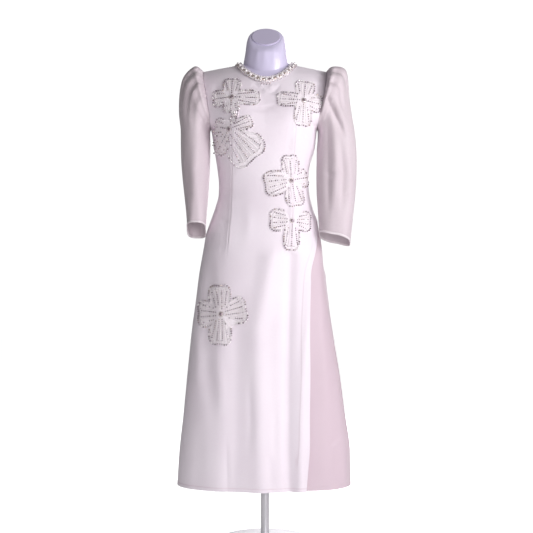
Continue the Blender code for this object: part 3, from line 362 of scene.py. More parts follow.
class BodySurface:
    """The shared surface that the body panels and what lies on them follow."""

    def __init__(self) -> None:
        """Read the tables of levels, armholes and slit edges."""
        self.levels = Profile(BODY_ROWS)
        self.armhole = Profile(ARMHOLE_ROWS)
        self.edges = Profile(EDGE_ROWS)

    def ridge_z(self, x: np.ndarray) -> np.ndarray:
        """Height of the shoulder line, which climbs towards the neck.

        Args:
            x: places across.

        Returns:
            The height at each place.
        """
        away = np.abs(x)
        line = 1.434 - 0.19 * (away - 0.09)
        return line + 0.049 * np.maximum(1 - away / 0.09, 0.0) ** 1.33

    def detail_rise(self, side: float, x: np.ndarray, z: np.ndarray) -> np.ndarray:
        """Rise of the folds and creases of one side.

        Args:
            side: FRONT or BACK.
            x: places across.
            z: heights.

        Returns:
            How far each place is moved outwards.
        """
        fade = smooth_step(0.98, 0.86, z)
        if side == FRONT:
            return crease_rise(FRONT_FOLDS, x, z) * fade + crease_rise(FRONT_CREASES, x, z)
        return crease_rise(BACK_FOLDS, x, z) * fade + crease_rise(BACK_CREASES, x, z)

    def points(self, side: np.ndarray, t: np.ndarray, z: np.ndarray, lift: np.ndarray = 0.0) -> np.ndarray:
        """Places on the surface.

        Args:
            side: FRONT or BACK for each place.
            t: place across, -1 at the level's left edge and 1 at its right edge.
            z: heights.
            lift: how far outwards each place is moved.

        Returns:
            The places, with x, y and z on the last axis.
        """
        left, right, middle, front, back = self.levels.at(z)
        half = (right - left) / 2
        depth = np.where(side == FRONT, front, back)
        sine = signed_power(t, ROUNDNESS / 2)
        cosine = np.sqrt(np.maximum(1 - sine * sine, 0.0))
        x = (right + left) / 2 + half * t
        climb = (z - CHEST_Z) / (self.ridge_z(x) - CHEST_Z)
        taper = np.sqrt(np.maximum(1 - np.maximum(climb, 0.0) ** 3, 0.0))
        y = middle + side * depth * cosine ** (2 / ROUNDNESS) * taper
        out_x = sine / half
        out_y = side * cosine / depth
        size = np.hypot(out_x, out_y)
        from_bust_x = (np.abs(x) - BUST_X) / BUST_WIDTH
        bust = BUST_RISE * np.exp(-(from_bust_x**2) - ((z - BUST_Z) / BUST_HEIGHT) ** 2)
        rise = lift + np.where(side == FRONT, bust * cosine, 0.0)
        front_side = np.asarray(side) == FRONT
        if np.all(front_side):
            rise = rise + self.detail_rise(FRONT, x, z)
        elif not np.any(front_side):
            rise = rise + self.detail_rise(BACK, x, z)
        else:
            detail = np.where(front_side, self.detail_rise(FRONT, x, z), self.detail_rise(BACK, x, z))
            rise = rise + detail
        sway = NECK_SHIFT * (1 - np.minimum(np.abs(x) / SHOULDER_HALF, 1.0) ** 2)
        sway = sway * smooth_step(1.30, 1.38, z)
        return np.stack([x + sway + out_x / size * rise, y + out_y / size * rise, z + 0.0 * x], axis=-1)

    def at_angle(self, degrees: np.ndarray, z: np.ndarray, lift: np.ndarray = 0.0) -> np.ndarray:
        """Places given by their angle round the body, 0 at the front.

        Args:
            degrees: angles, the right side positive.
            z: heights.
            lift: how far outwards each place is moved.

        Returns:
            The places.
        """
        turn = np.radians(degrees)
        side = np.where(np.cos(turn) >= 0, FRONT, BACK)
        return self.points(side, signed_power(np.sin(turn), 2 / ROUNDNESS), z, lift)

    def neckline_z(self, side: float, u: np.ndarray) -> np.ndarray:
        """Height of a panel's top edge at a column: shoulder line or neckline.

        Args:
            side: FRONT or BACK.
            u: column, -1 at the left armhole and 1 at the right one.

        Returns:
            The heights.
        """
        away = np.abs(u) / NECK_U
        end = self.ridge_z(NECK_HALF)
        middle = FRONT_NECK_Z if side == FRONT else BACK_NECK_Z
        neck = end - (end - middle) * np.maximum(1 - away * away, 0.0) ** 0.8
        return np.where(away >= 1, self.ridge_z(SHOULDER_HALF * u), neck)

    def upper(self, side: float, u: np.ndarray, v: np.ndarray) -> tuple[np.ndarray, np.ndarray]:
        """Place across and height above the armpit.

        Args:
            side: FRONT or BACK.
            u: column, -1 at the left armhole and 1 at the right one.
            v: share of the way up the armhole.

        Returns:
            The place across, t, and the height.
        """
        climb = (1 - np.cos(math.pi * v)) / 2
        reach = self.armhole.at(mix(ARMPIT_Z, SHOULDER_Z, climb))[0]
        z = mix(ARMPIT_Z, self.neckline_z(side, u), climb)
        left, right = self.levels.at(z)[:2]
        rounded = signed_power(np.sin(u * math.pi / 2), 2 / ROUNDNESS)
        across = mix(rounded, u, smooth_step(0.0, 0.5, v))
        return np.clip(reach * across / ((right - left) / 2), -1.0, 1.0), z

    def front_point(self, x: np.ndarray, z: np.ndarray, lift: float = 0.0) -> np.ndarray:
        """Places on the front panel that lie at given x and z.

        Args:
            x: places across.
            z: heights.
            lift: how far they stand off the cloth.

        Returns:
            The places.
        """
        x = np.asarray(x, float)
        z = np.asarray(z, float)
        left, right = self.levels.at(z)[:2]
        guess = x
        for _ in range(4):
            t = np.clip((guess - (right + left) / 2) * 2 / (right - left), -0.995, 0.995)
            place = self.points(np.full(t.shape, FRONT), t, z)
            guess = guess + x - place[..., 0]
        place[..., 1] -= SEAM_GAP / 2
        if lift:
            place = place + self.front_normal(x, z) * lift
        return place

    def front_normal(self, x: np.ndarray, z: np.ndarray) -> np.ndarray:
        """Outward directions of the front panel at given x and z.

        Args:
            x: places across.
            z: heights.

        Returns:
            Unit directions.
        """
        step = 0.0015
        across = self.front_point(x + step, z) - self.front_point(x - step, z)
        up = self.front_point(x, z + step) - self.front_point(x, z - step)
        normal = np.cross(across, up)
        return normal / np.linalg.norm(normal, axis=-1, keepdims=True)


SURFACE = BodySurface()


class Links:
    """Short ways to add and join shader nodes of one material."""

    def __init__(self, name: str) -> None:
        """Start a material with a Principled shader."""
        self.material = bpy.data.materials.new(name)
        self.material.use_nodes = True
        self.tree = self.material.node_tree
        self.shader = self.tree.nodes["Principled BSDF"]

    def node(self, kind: str, **values: object) -> bpy.types.Node:
        """Add a node.

        Args:
            kind: the node's type name.
            values: properties, or input sockets by name with spaces as underscores.

        Returns:
            The node.
        """
        made = self.tree.nodes.new(kind)
        for name, value in values.items():
            if hasattr(made, name):
                setattr(made, name, value)
            else:
                made.inputs[name.replace("_", " ")].default_value = value
        return made

    def join(self, start: bpy.types.NodeSocket, end: bpy.types.NodeSocket) -> None:
        """Link two sockets."""
        self.tree.links.new(start, end)

    def math(self, operation: str, first: object, second: object = None) -> bpy.types.NodeSocket:
        """Add a maths node.

        Args:
            operation: its operation.
            first: a socket or a number.
            second: a socket or a number.

        Returns:
            Its output socket.
        """
        made = self.tree.nodes.new("ShaderNodeMath")
        made.operation = operation
        for socket, value in zip(made.inputs, (first, second)):
            if isinstance(value, bpy.types.NodeSocket):
                self.join(value, socket)
            elif value is not None:
                socket.default_value = value
        return made.outputs[0]

    def blend(self, share: object, first: tuple, second: tuple) -> bpy.types.NodeSocket:
        """Blend two colours, each a socket or an RGB tuple, and give the result's socket.

        Args:
            share: a socket or a number.
            first: the colour at share 0.
            second: the colour at share 1.

        Returns:
            The blended colour's socket.
        """
        made = self.tree.nodes.new("ShaderNodeMix")
        made.data_type = "RGBA"
        for socket, value in ((made.inputs[0], share), (made.inputs[6], first), (made.inputs[7], second)):
            if isinstance(value, bpy.types.NodeSocket):
                self.join(value, socket)
            elif isinstance(value, tuple):
                socket.default_value = (*value, 1.0)
            else:
                socket.default_value = value
        return made.outputs[2]

    def noise(self, place: bpy.types.NodeSocket, scale: float, detail: float = 2.0) -> bpy.types.NodeSocket:
        """Noise from 0 to 1 at a scale, in features a metre."""
        made = self.node("ShaderNodeTexNoise", Scale=scale, Detail=detail)
        self.join(place, made.inputs["Vector"])
        return made.outputs["Fac"]

    def object_place(self) -> bpy.types.NodeSocket:
        """Object coordinates."""
        return self.node("ShaderNodeTexCoord").outputs["Object"]

    def uv_place(self) -> bpy.types.NodeSocket:
        """The piece's UV map, which is in metres."""
        return self.node("ShaderNodeTexCoord").outputs["UV"]

    def bump(self, height: bpy.types.NodeSocket, strength: float, distance: float) -> None:
        """Bump the shader's normal by a height."""
        made = self.node("ShaderNodeBump", Strength=strength, Distance=distance)
        self.join(height, made.inputs["Height"])
        self.join(made.outputs[0], self.shader.inputs["Normal"])

    def set(self, **values: object) -> None:
        """Set constant inputs of the shader by name, with spaces as underscores."""
        for name, value in values.items():
            self.shader.inputs[name.replace("_", " ")].default_value = value


class ClothKind(Enum):
    """The cloths of the tunic."""

    SATIN = "satin"
    ORGANZA = "organza"
    ORGANZA_HEM = "organza_hem"
    EMBROIDERY = "embroidery"


@dataclass(frozen=True)
class Cloth:
    """A woven cloth with crosswise and lengthwise threads, a cast and a sheen."""

    kind: ClothKind
    light: tuple
    dark: tuple
    roughness: float
    thread: float
    bump: float
    sheen: float
    alpha: float = 1.0

    def build(self) -> bpy.types.Material:
        """Make the cloth's material.

        Returns:
            A material that reads the piece's UV map in metres.
        """
        links = Links(self.kind.value)
        place = links.uv_place()
        split = links.node("ShaderNodeSeparateXYZ")
        links.join(place, split.inputs[0])
        weft = links.math("SINE", links.math("MULTIPLY", split.outputs["X"], math.tau / self.thread))
        warp = links.math("SINE", links.math("MULTIPLY", split.outputs["Y"], math.tau / self.thread))
        weave = links.math("MULTIPLY", weft, warp)
        crepe = links.noise(place, 900.0, 3.0)
        height = links.math("ADD", links.math("MULTIPLY", weave, 0.35), crepe)
        links.bump(height, self.bump, 0.0004)
        broad = links.noise(place, 5.0, 2.0)
        slub = links.noise(place, 160.0, 3.0)
        share = links.math("ADD", links.math("MULTIPLY", broad, 0.75), links.math("MULTIPLY", slub, 0.25))
        steps = links.node("ShaderNodeMapRange", From_Min=0.35, From_Max=0.65)
        links.join(share, steps.inputs["Value"])
        colour = links.blend(steps.outputs[0], self.dark, self.light)
        # Painted shade: the colour is darkened towards a deep tone of the dark colour where the mesh's
        # painted-shade attribute is high, in seam and dart grooves, along hem and slit steps, between stitch
        # ribs and where the back lies under the front.
        seam_shade = links.node("ShaderNodeAttribute", attribute_name="seam_shade")
        deep = tuple(share * value for share, value in zip((0.70, 0.58, 0.61), self.dark))
        colour = links.blend(seam_shade.outputs["Fac"], colour, deep)
        links.join(colour, links.shader.inputs["Base Color"])
        rough = links.math("ADD", links.math("MULTIPLY", crepe, 0.12), self.roughness - 0.06)
        links.join(rough, links.shader.inputs["Roughness"])
        links.set(Sheen_Weight=self.sheen, Sheen_Roughness=0.35, Specular_IOR_Level=0.4)
        if self.alpha < 1.0:
            open_weave = links.math("MULTIPLY", links.noise(place, 500.0, 2.0), 0.12)
            thick = links.math("ADD", open_weave, self.alpha - 0.06)
            links.join(thick, links.shader.inputs["Alpha"])
        return links.material


@dataclass(frozen=True)
class Gem:
    """Cut glass or a pearl: a colour that drifts from bead to bead and a clear gloss."""

    name: str
    light: tuple
    dark: tuple
    roughness: float
    metallic: float
    coat: float
    drift: float = 240.0

    def build(self) -> bpy.types.Material:
        """Make the bead's material, whose tone drifts along the work.

        Returns:
            The material.
        """
        links = Links(self.name)
        place = links.object_place()
        tone = links.noise(place, self.drift, 1.0)
        steps = links.node("ShaderNodeMapRange", From_Min=0.38, From_Max=0.62)
        links.join(tone, steps.inputs["Value"])
        links.join(links.blend(steps.outputs[0], self.dark, self.light), links.shader.inputs["Base Color"])
        grain = links.noise(place, 900.0, 2.0)
        rough = links.math("ADD", links.math("MULTIPLY", grain, 0.08), self.roughness)
        links.join(rough, links.shader.inputs["Roughness"])
        links.set(Metallic=self.metallic, Coat_Weight=self.coat, Coat_Roughness=0.05)
        return links.material


@dataclass(frozen=True)
class Moulding:
    """Smooth painted or moulded surface with a faint drift of tone and fine grain."""

    name: str
    light: tuple
    dark: tuple
    roughness: float
    metallic: float
    coat: float
    grain: float

    def build(self) -> bpy.types.Material:
        """Make the moulded surface's material.

        Returns:
            The material.
        """
        links = Links(self.name)
        place = links.object_place()
        share = links.noise(place, 7.0, 3.0)
        links.join(links.blend(share, self.dark, self.light), links.shader.inputs["Base Color"])
        fine = links.noise(place, 420.0, 3.0)
        links.bump(fine, self.grain, 0.0006)
        rough = links.math("ADD", links.math("MULTIPLY", links.noise(place, 30.0), 0.10), self.roughness)
        links.join(rough, links.shader.inputs["Roughness"])
        links.set(Metallic=self.metallic, Coat_Weight=self.coat, Coat_Roughness=0.12)
        return links.material


@dataclass
class Finishes:
    """All the finishes of the tunic and its form."""

    satin: bpy.types.Material = None
    organza: bpy.types.Material = None
    organza_hem: bpy.types.Material = None
    embroidery: bpy.types.Material = None
    smoke: bpy.types.Material = None
    champagne: bpy.types.Material = None
    crystal: bpy.types.Material = None
    pearl: bpy.types.Material = None
    setting: bpy.types.Material = None
    shell: bpy.types.Material = None
    cap: bpy.types.Material = None
    lacquer: bpy.types.Material = None

    def build(self) -> None:
        """Make every material."""
        self.satin = Cloth(
            ClothKind.SATIN, (0.900, 0.825, 0.890), (0.865, 0.775, 0.850), 0.46, 0.0007, 0.22, 0.22
        ).build()
        self.organza = Cloth(
            ClothKind.ORGANZA, (0.775, 0.680, 0.725), (0.715, 0.610, 0.665), 0.50, 0.0009, 0.24, 0.22, 0.86
        ).build()
        self.organza_hem = Cloth(
            ClothKind.ORGANZA_HEM, (0.880, 0.805, 0.840), (0.830, 0.745, 0.785), 0.48, 0.0009, 0.24, 0.3, 0.95
        ).build()
        self.embroidery = Cloth(
            ClothKind.EMBROIDERY, (0.965, 0.905, 0.950), (0.930, 0.860, 0.910), 0.34, 0.0005, 0.60, 0.25
        ).build()
        self.smoke = Gem(
            "smoke_stones", (0.450, 0.370, 0.415), (0.190, 0.130, 0.165), 0.14, 0.40, 0.7
        ).build()
        self.champagne = Gem(
            "champagne_stones", (0.700, 0.590, 0.540), (0.420, 0.320, 0.300), 0.12, 0.45, 0.8
        ).build()
        self.crystal = Gem(
            "silver_beads", (0.820, 0.770, 0.810), (0.480, 0.400, 0.460), 0.16, 0.45, 0.6
        ).build()
        self.pearl = Gem("pearls", (0.960, 0.930, 0.920), (0.900, 0.850, 0.860), 0.20, 0.0, 0.7).build()
        self.setting = Gem("settings", (0.840, 0.760, 0.700), (0.620, 0.530, 0.480), 0.28, 0.75, 0.2).build()
        self.shell = Moulding(
            "moulded_shell", (0.770, 0.715, 0.920), (0.715, 0.655, 0.880), 0.30, 0.0, 0.35, 0.06
        ).build()
        self.cap = Moulding(
            "moulded_cap", (0.660, 0.605, 0.780), (0.600, 0.545, 0.735), 0.42, 0.0, 0.15, 0.30
        ).build()
        self.lacquer = Moulding(
            "grey_lacquer", (0.740, 0.730, 0.760), (0.690, 0.680, 0.715), 0.30, 0.5, 0.3, 0.06
        ).build()

    def bead_kinds(self) -> tuple:
        """Finishes of the beads in the order SMOKE, CHAMPAGNE, CRYSTAL, PEARL, SETTING."""
        return (self.smoke, self.champagne, self.crystal, self.pearl, self.setting)


@dataclass
class Piece:
    """What every new piece needs: its name, the name of its slot in the record, which nothing here reads, and
    its finish.
    """

    name: str
    slot: str
    materials: tuple

    def place(self, mesh: bpy.types.Mesh, smooth_angle: float = 180.0) -> bpy.types.Object:
        """Put a mesh in the scene as this piece, riding on the main body.

        Args:
            mesh: the finished mesh.
            smooth_angle: edges sharper than this many degrees stay sharp.

        Returns:
            The object.
        """
        mesh.name = self.name
        for material in self.materials:
            mesh.materials.append(material)
        made = bpy.data.objects.new(self.name, mesh)
        bpy.context.scene.collection.objects.link(made)
        mesh.shade_smooth()
        if smooth_angle < 180.0:
            mesh.set_sharp_from_angle(angle=math.radians(smooth_angle))
        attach(made, MAIN_BODY)
        LOG.info("%s: %d faces", self.name, len(mesh.polygons))
        return made


def grid_mesh(
    points: np.ndarray, flat: np.ndarray, seam_shade: np.ndarray = None, closed: bool = False, flip: bool = False
) -> bpy.types.Mesh:
    """Lay a fine grid over rows of points.

    Args:
        points: rows by columns by 3; a closed grid repeats its first column at the end.
        flat: rows by columns by 2, where each point lies in the flat cloth, in metres.
        seam_shade: rows by columns, painted shade in grooves, along steps and under overlaps, from 0 to 1.
        closed: whether the first and last columns are one.
        flip: whether the faces are turned round.

    Returns:
        The mesh, with a UV map in metres and an attribute of painted shade that the cloth material reads.
    """
    rows, columns = points.shape[:2]
    shape = bmesh.new()
    bmesh.ops.create_grid(shape, x_segments=columns - 1, y_segments=rows - 1, size=1.0)
    uv_layer = shape.loops.layers.uv.new("flat")
    seam_shade_layer = shape.verts.layers.float.new("seam_shade")
    where = {}
    for vert in shape.verts:
        column = round((vert.co.x + 1) / 2 * (columns - 1))
        row = round((vert.co.y + 1) / 2 * (rows - 1))
        where[vert] = (row, column)
    places = points.tolist()
    flats = flat.tolist()
    for face in shape.faces:
        for loop in face.loops:
            row, column = where[loop.vert]
            loop[uv_layer].uv = flats[row][column]
    for vert, (row, column) in where.items():
        vert.co = places[row][column]
        if seam_shade is not None:
            vert[seam_shade_layer] = float(seam_shade[row, column])
    if flip:
        bmesh.ops.reverse_faces(shape, faces=shape.faces)
    if closed:
        bmesh.ops.remove_doubles(shape, verts=shape.verts, dist=1e-6)
    mesh = bpy.data.meshes.new("grid")
    shape.to_mesh(mesh)
    shape.free()
    return mesh


def give_wall(made: bpy.types.Object, thickness: float) -> None:
    """Give a cloth grid its wall, on the inside.

    Args:
        made: the cloth piece.
        thickness: of its wall.
    """
    wall = made.modifiers.new("wall", "SOLIDIFY")
    wall.thickness = thickness
    wall.offset = -1.0
    wall.use_even_offset = False


def grid_normals(points: np.ndarray, closed: bool = False) -> np.ndarray:
    """Unit normals of rows of points.

    Args:
        points: rows by columns by 3.
        closed: whether the last column repeats the first one.

    Returns:
        Normals, pointing where columns crossed with rows point.
    """
    along = np.gradient(points, axis=0)
    around = np.gradient(points, axis=1)
    if closed:
        ring = points[:, :-1]
        turned = np.roll(ring, -1, axis=1) - np.roll(ring, 1, axis=1)
        around = np.concatenate([turned, turned[:, :1]], axis=1)
    normals = np.cross(around, along)
    return normals / np.maximum(np.linalg.norm(normals, axis=2, keepdims=True), 1e-12)


def flat_lengths(points: np.ndarray) -> np.ndarray:
    """Where each point of a grid lies when the cloth is laid flat.

    Args:
        points: rows by columns by 3.

    Returns:
        Rows by columns by 2: the way along its row from the middle column, and the way
        up the middle column.
    """
    across = np.linalg.norm(np.diff(points, axis=1), axis=2)
    across = np.concatenate([np.zeros((len(points), 1)), np.cumsum(across, axis=1)], axis=1)
    middle = points.shape[1] // 2
    across = across - across[:, middle : middle + 1]
    up = np.linalg.norm(np.diff(points[:, middle], axis=0), axis=1)
    up = np.concatenate([[0.0], np.cumsum(up)])
    return np.stack([across, np.broadcast_to(up[:, None], across.shape)], axis=-1)


@dataclass
class PanelRows:
    """Heights of a body panel's rows: close together at the hem, even above it."""

    spacing: float = 0.0044
    upper_rows: int = 60

    def lower(self) -> np.ndarray:
        """Work out the rows below the armpit.

        Returns:
            Their heights, from the hem to the armpit.
        """
        band = HEM_Z + HEM_BAND
        hem = [HEM_Z, HEM_Z + 0.0007, HEM_Z + 0.0022, band - 0.0022, band - 0.0007, band, band + 0.0008]
        rest = np.arange(band + 0.0030, ARMPIT_Z - 0.002, self.spacing)
        return np.concatenate([hem, rest, [ARMPIT_Z]])

    def upper(self) -> np.ndarray:
        """Shares of the way up the armhole."""
        return np.linspace(0.0, 1.0, self.upper_rows + 1)[1:]


@dataclass
class FrontPanel:
    """The front, cut in one piece, with two long darts, a turned slit edge and a hem."""

    finishes: Finishes
    columns: int = 104
    wall: float = 0.0012
    rows: PanelRows = field(default_factory=PanelRows)

    def dart_u(self, dart: tuple, z: np.ndarray) -> np.ndarray:
        """Column of a dart at each height below the armpit.

        Args:
            dart: its (height, place across) points, from the top down.
            z: heights of the rows.

        Returns:
            The column at each height, from -1 to 1.
        """
        heights, places = np.array(dart[::-1]).T
        x = np.interp(z, heights, places)
        left, right = SURFACE.levels.at(z)[:2]
        t = (x - (right + left) / 2) * 2 / (right - left)
        degrees = np.degrees(np.arcsin(np.clip(signed_power(t, ROUNDNESS / 2), -1, 1)))
        front_left, front_right = SURFACE.edges.at(z)[:2]
        return (degrees - front_left) / (front_right - front_left) * 2 - 1

    def column_places(self, z: np.ndarray) -> np.ndarray:
        """Columns of each row, drawn together along both darts.

        Args:
            z: heights of the rows.

        Returns:
            Rows by columns, each from -1 to 1.
        """
        near = np.array([-0.0110, -0.0050, -0.0024, -0.0010, 0.0, 0.0010, 0.0024, 0.0050, 0.0110]) * 6.2
        left = self.dart_u(LEFT_DART, z)
        right = self.dart_u(RIGHT_DART, z)
        edge = np.array([0.0, 0.0016, 0.013, 0.05])
        spare = self.columns - 2 * len(near) - 2 * len(edge)
        outer_left = int(spare * 0.24)
        outer_right = int(spare * 0.24)
        middle = spare - outer_left - outer_right
        places = []
        for start, end in zip(left, right):
            a = np.linspace(-1 + edge[-1], start + near[0], outer_left + 2)[1:-1]
            b = np.linspace(start + near[-1], end + near[0], middle + 2)[1:-1]
            c = np.linspace(end + near[-1], 1 - edge[-1], outer_right + 2)[1:-1]
            row = np.concatenate([-1 + edge, a, start + near, b, end + near, c, 1 - edge[::-1]])
            places.append(row)
        return np.array(places)

    def dart_rise(self, points: np.ndarray) -> tuple[np.ndarray, np.ndarray]:
        """Depth of the dart seams and the painted shade in their grooves.

        Args:
            points: the panel's points.

        Returns:
            The rise of each point, and its painted shade from 0 to 1.
        """
        x = points[..., 0]
        z = points[..., 2]
        rise = np.zeros(x.shape)
        dark = np.zeros(x.shape)
        for dart in (LEFT_DART, RIGHT_DART):
            heights, places = np.array(dart[::-1]).T
            off = x - np.interp(z, heights, places)
            fade = smooth_step(heights[0] - 0.004, heights[0] + 0.05, z)
            fade = fade * smooth_step(heights[-1] + 0.004, heights[-1] - 0.03, z)
            seam_shade = np.exp(-((off / DART_WIDTH) ** 2))
            ridge = smooth_step(-0.0125, -0.0008, off) * np.exp(-((np.maximum(off, 0.0) / 0.019) ** 2))
            ease = 0.85 + 0.15 * np.sin(z * 96.0 + 11.0 * places[0])
            lip = np.exp(-(((off - 0.0030) / 0.0018) ** 2))
            rise += fade * (0.0030 * ridge * ease + 0.0005 * lip - DART_DEPTH * seam_shade)
            # Painted shade along the dart's groove.
            dark = np.maximum(dark, 0.22 * fade * seam_shade)
        return rise, dark

    def points(self) -> tuple[np.ndarray, np.ndarray]:
        """Lay out the panel with its darts, turned slit edge and hem.

        Returns:
            The outer points from the hem up, and their painted shade along the darts and the hem and slit
            steps.
        """
        z = self.rows.lower()
        u = self.column_places(z)
        front_left, front_right = SURFACE.edges.at(z)[:2]
        degrees = mix(front_left[:, None], front_right[:, None], (u + 1) / 2)
        height = np.broadcast_to(z[:, None], u.shape)
        lift = EDGE_LIFT * smooth_step(0.95, 0.85, height)
        lift = lift * smooth_step(0.0, EDGE_FADE, degrees - front_right[:, None] + EDGE_FADE)
        lower = SURFACE.at_angle(degrees, height, lift)
        top_u = np.clip(u[-1], -1.0, 1.0)
        columns, v = np.broadcast_arrays(top_u[None, :], self.rows.upper()[:, None])
        t, z_up = SURFACE.upper(FRONT, columns, v)
        upper = SURFACE.points(np.full(t.shape, FRONT), t, z_up)
        points = np.concatenate([lower, upper])
        points[..., 1] -= SEAM_GAP / 2
        rise, dark = self.dart_rise(points)
        rows = len(z)
        away = (front_right[:, None] - degrees) * 0.0026
        open_slit = smooth_step(SLIT_TOP_Z, 0.95, height)
        strip = smooth_step(0.0215, 0.0200, away) * open_slit
        hem = smooth_step(HEM_Z + HEM_BAND + 0.0006, HEM_Z + HEM_BAND - 0.0004, height)
        rise[:rows] += HEM_TURN * np.maximum(strip, hem)
        # Painted shade along the stitched steps of the turned hem and of the slit edge's turned strip.
        hem_step_shade = np.exp(-(((height - HEM_Z - HEM_BAND) / HEM_SHADE_WIDTH) ** 2))
        slit_step_shade = np.exp(-(((away - SLIT_BAND) / 0.0012) ** 2)) * open_slit
        dark[:rows] = np.maximum(dark[:rows], STEP_SHADE * np.maximum(hem_step_shade, 0.6 * slit_step_shade))
        points += grid_normals(points) * rise[..., None]
        return points, dark

    def build(self) -> bpy.types.Object:
        """Make the front panel.

        Returns:
            The panel's object.
        """
        points, dark = self.points()
        mesh = grid_mesh(points, flat_lengths(points), dark)
        made = Piece("front_satin", "satin", (self.finishes.satin,)).place(mesh)
        give_wall(made, self.wall)
        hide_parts("front_panel")
        return made


@dataclass
class BackPanel:
    """One half of the back, from the centre back seam to the side seam."""

    finishes: Finishes
    hand: int
    columns: int = 62
    wall: float = 0.0012
    rows: PanelRows = field(default_factory=PanelRows)

    def points(self) -> tuple[np.ndarray, np.ndarray]:
        """Lay out the half with its centre seam, tuck and hem.

        Returns:
            The outer points from the hem up, and their painted shade at the centre seam, the hem step and
            under the front's slit edge.
        """
        z = self.rows.lower()
        spread = np.linspace(0.0, 1.0, self.columns - 6)
        close = np.array([0.0016, 0.010, 0.024])
        u = np.unique(np.concatenate([spread, close, 1 - close]))
        u = u if self.hand > 0 else -u[::-1]
        edges = SURFACE.edges.at(z)
        limit = edges[3] if self.hand > 0 else edges[2]
        start = 180.0 * self.hand
        degrees = mix(start, limit[:, None], np.abs(u)[None, :])
        height = np.broadcast_to(z[:, None], degrees.shape)
        lift = 0.0 * height
        if self.hand > 0:
            tuck = TUCK_DEPTH * smooth_step(0.985, 0.915, height)
            tuck = tuck * smooth_step(TUCK_FADE, 0.0, degrees - edges[1][:, None])
            lift = -tuck
        lower = SURFACE.at_angle(degrees, height, lift)
        columns, v = np.broadcast_arrays(u[None, :], self.rows.upper()[:, None])
        t, z_up = SURFACE.upper(BACK, columns, v)
        upper = SURFACE.points(np.full(t.shape, BACK), t, z_up)
        points = np.concatenate([lower, upper])
        points += np.array([self.hand * SEAM_GAP / 2, SEAM_GAP / 2, 0.0])
        rise = np.zeros(points.shape[:2])
        if self.hand > 0:
            front_side = points[..., 1] < 0.0
            creases = crease_rise(RIGHT_BACK_CREASES, points[..., 0], points[..., 2])
            rise += np.where(front_side, creases, 0.0)
            # Painted shade on the right half where it lies under the front's slit edge, on the front side
            # below the slit top.
            shade = smooth_step(0.06, -0.03, points[..., 1]) * smooth_step(0.985, 0.930, points[..., 2])
        away = np.abs(points[..., 0])
        # The centre back seam's groove, deepened in the cloth and also darkened with painted shade.
        seam_shade = np.exp(-((away / SEAM_WIDTH) ** 2)) * (points[..., 1] > 0)
        rise -= SEAM_DEPTH * seam_shade + 0.0006 * np.exp(-((away / 0.008) ** 2)) * (points[..., 1] > 0)
        dark = 0.45 * seam_shade
        if self.hand > 0:
            dark = np.maximum(dark, 0.72 * shade)
        rows = len(z)
        # Painted shade along the stitched step of the turned hem.
        hem_step_shade = np.exp(-(((height - HEM_Z - HEM_BAND) / HEM_SHADE_WIDTH) ** 2))
        hem = smooth_step(HEM_Z + HEM_BAND + 0.0006, HEM_Z + HEM_BAND - 0.0004, height)
        rise[:rows] += HEM_TURN * hem
        dark[:rows] = np.maximum(dark[:rows], STEP_SHADE * hem_step_shade)
        points += grid_normals(points) * rise[..., None] * self.outward(points)
        return points, dark

    def outward(self, points: np.ndarray) -> float:
        """Find which way the grid's normals point.

        Args:
            points: the half's points.

        Returns:
            1 where the normals point out of the body, else -1.
        """
        normal = grid_normals(points)[10, 10]
        place = points[10, 10]
        return 1.0 if normal[1] * place[1] + normal[0] * place[0] > 0 else -1.0

    def build(self) -> bpy.types.Object:
        """Make this half of the back.

        Returns:
            The half's object.
        """
        points, dark = self.points()
        name = "back_satin_right" if self.hand > 0 else "back_satin_left"
        mesh = grid_mesh(points, flat_lengths(points), dark, flip=self.outward(points) < 0)
        made = Piece(name, "satin", (self.finishes.satin,)).place(mesh)
        give_wall(made, self.wall)
        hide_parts("back_right" if self.hand > 0 else "back_left")
        return made


LEFT_SLEEVE_CREASES = (
    Crease(((-0.205, 1.385), (-0.222, 1.330), (-0.226, 1.250)), 0.0150, -0.0030, 0.45, 0.3),
    Crease(((-0.226, 1.390), (-0.244, 1.330), (-0.246, 1.230)), 0.0120, 0.0016, 0.45),
    Crease(((-0.186, 1.345), (-0.196, 1.290), (-0.198, 1.200)), 0.0120, 0.0024, 0.45),
    Crease(((-0.200, 1.250), (-0.206, 1.120), (-0.204, 1.000)), 0.0140, 0.0026, 0.40),
    Crease(((-0.232, 1.180), (-0.228, 1.090), (-0.216, 1.000)), 0.0120, -0.0024, 0.45),
    Crease(((-0.178, 1.150), (-0.192, 1.118), (-0.214, 1.100)), 0.0090, -0.0022, 0.45),
    Crease(((-0.242, 1.060), (-0.222, 1.040), (-0.202, 1.046)), 0.0080, -0.0018, 0.45),
)
RIGHT_SLEEVE_CREASES = (
    Crease(((0.166, 1.340), (0.188, 1.312), (0.214, 1.262), (0.242, 1.206)), 0.0085, -0.0085, 0.30, 0.4),
    Crease(((0.176, 1.356), (0.204, 1.316), (0.230, 1.268), (0.250, 1.222)), 0.0100, 0.0052, 0.40),
    Crease(((0.178, 1.330), (0.184, 1.220), (0.184, 1.060), (0.186, 0.940)), 0.0090, -0.0046, 0.35),
    Crease(((0.200, 1.280), (0.206, 1.140), (0.204, 0.980)), 0.0100, 0.0036, 0.40),
    Crease(((0.222, 1.230), (0.230, 1.100), (0.224, 0.960)), 0.0090, -0.0040, 0.40),
    Crease(((0.246, 1.200), (0.252, 1.080), (0.246, 0.960)), 0.0080, 0.0030, 0.40),
    Crease(((0.166, 1.120), (0.190, 1.100), (0.222, 1.112)), 0.0080, -0.0028, 0.45),
    Crease(((0.262, 1.060), (0.240, 1.040), (0.212, 1.046)), 0.0070, -0.0024, 0.45),
)


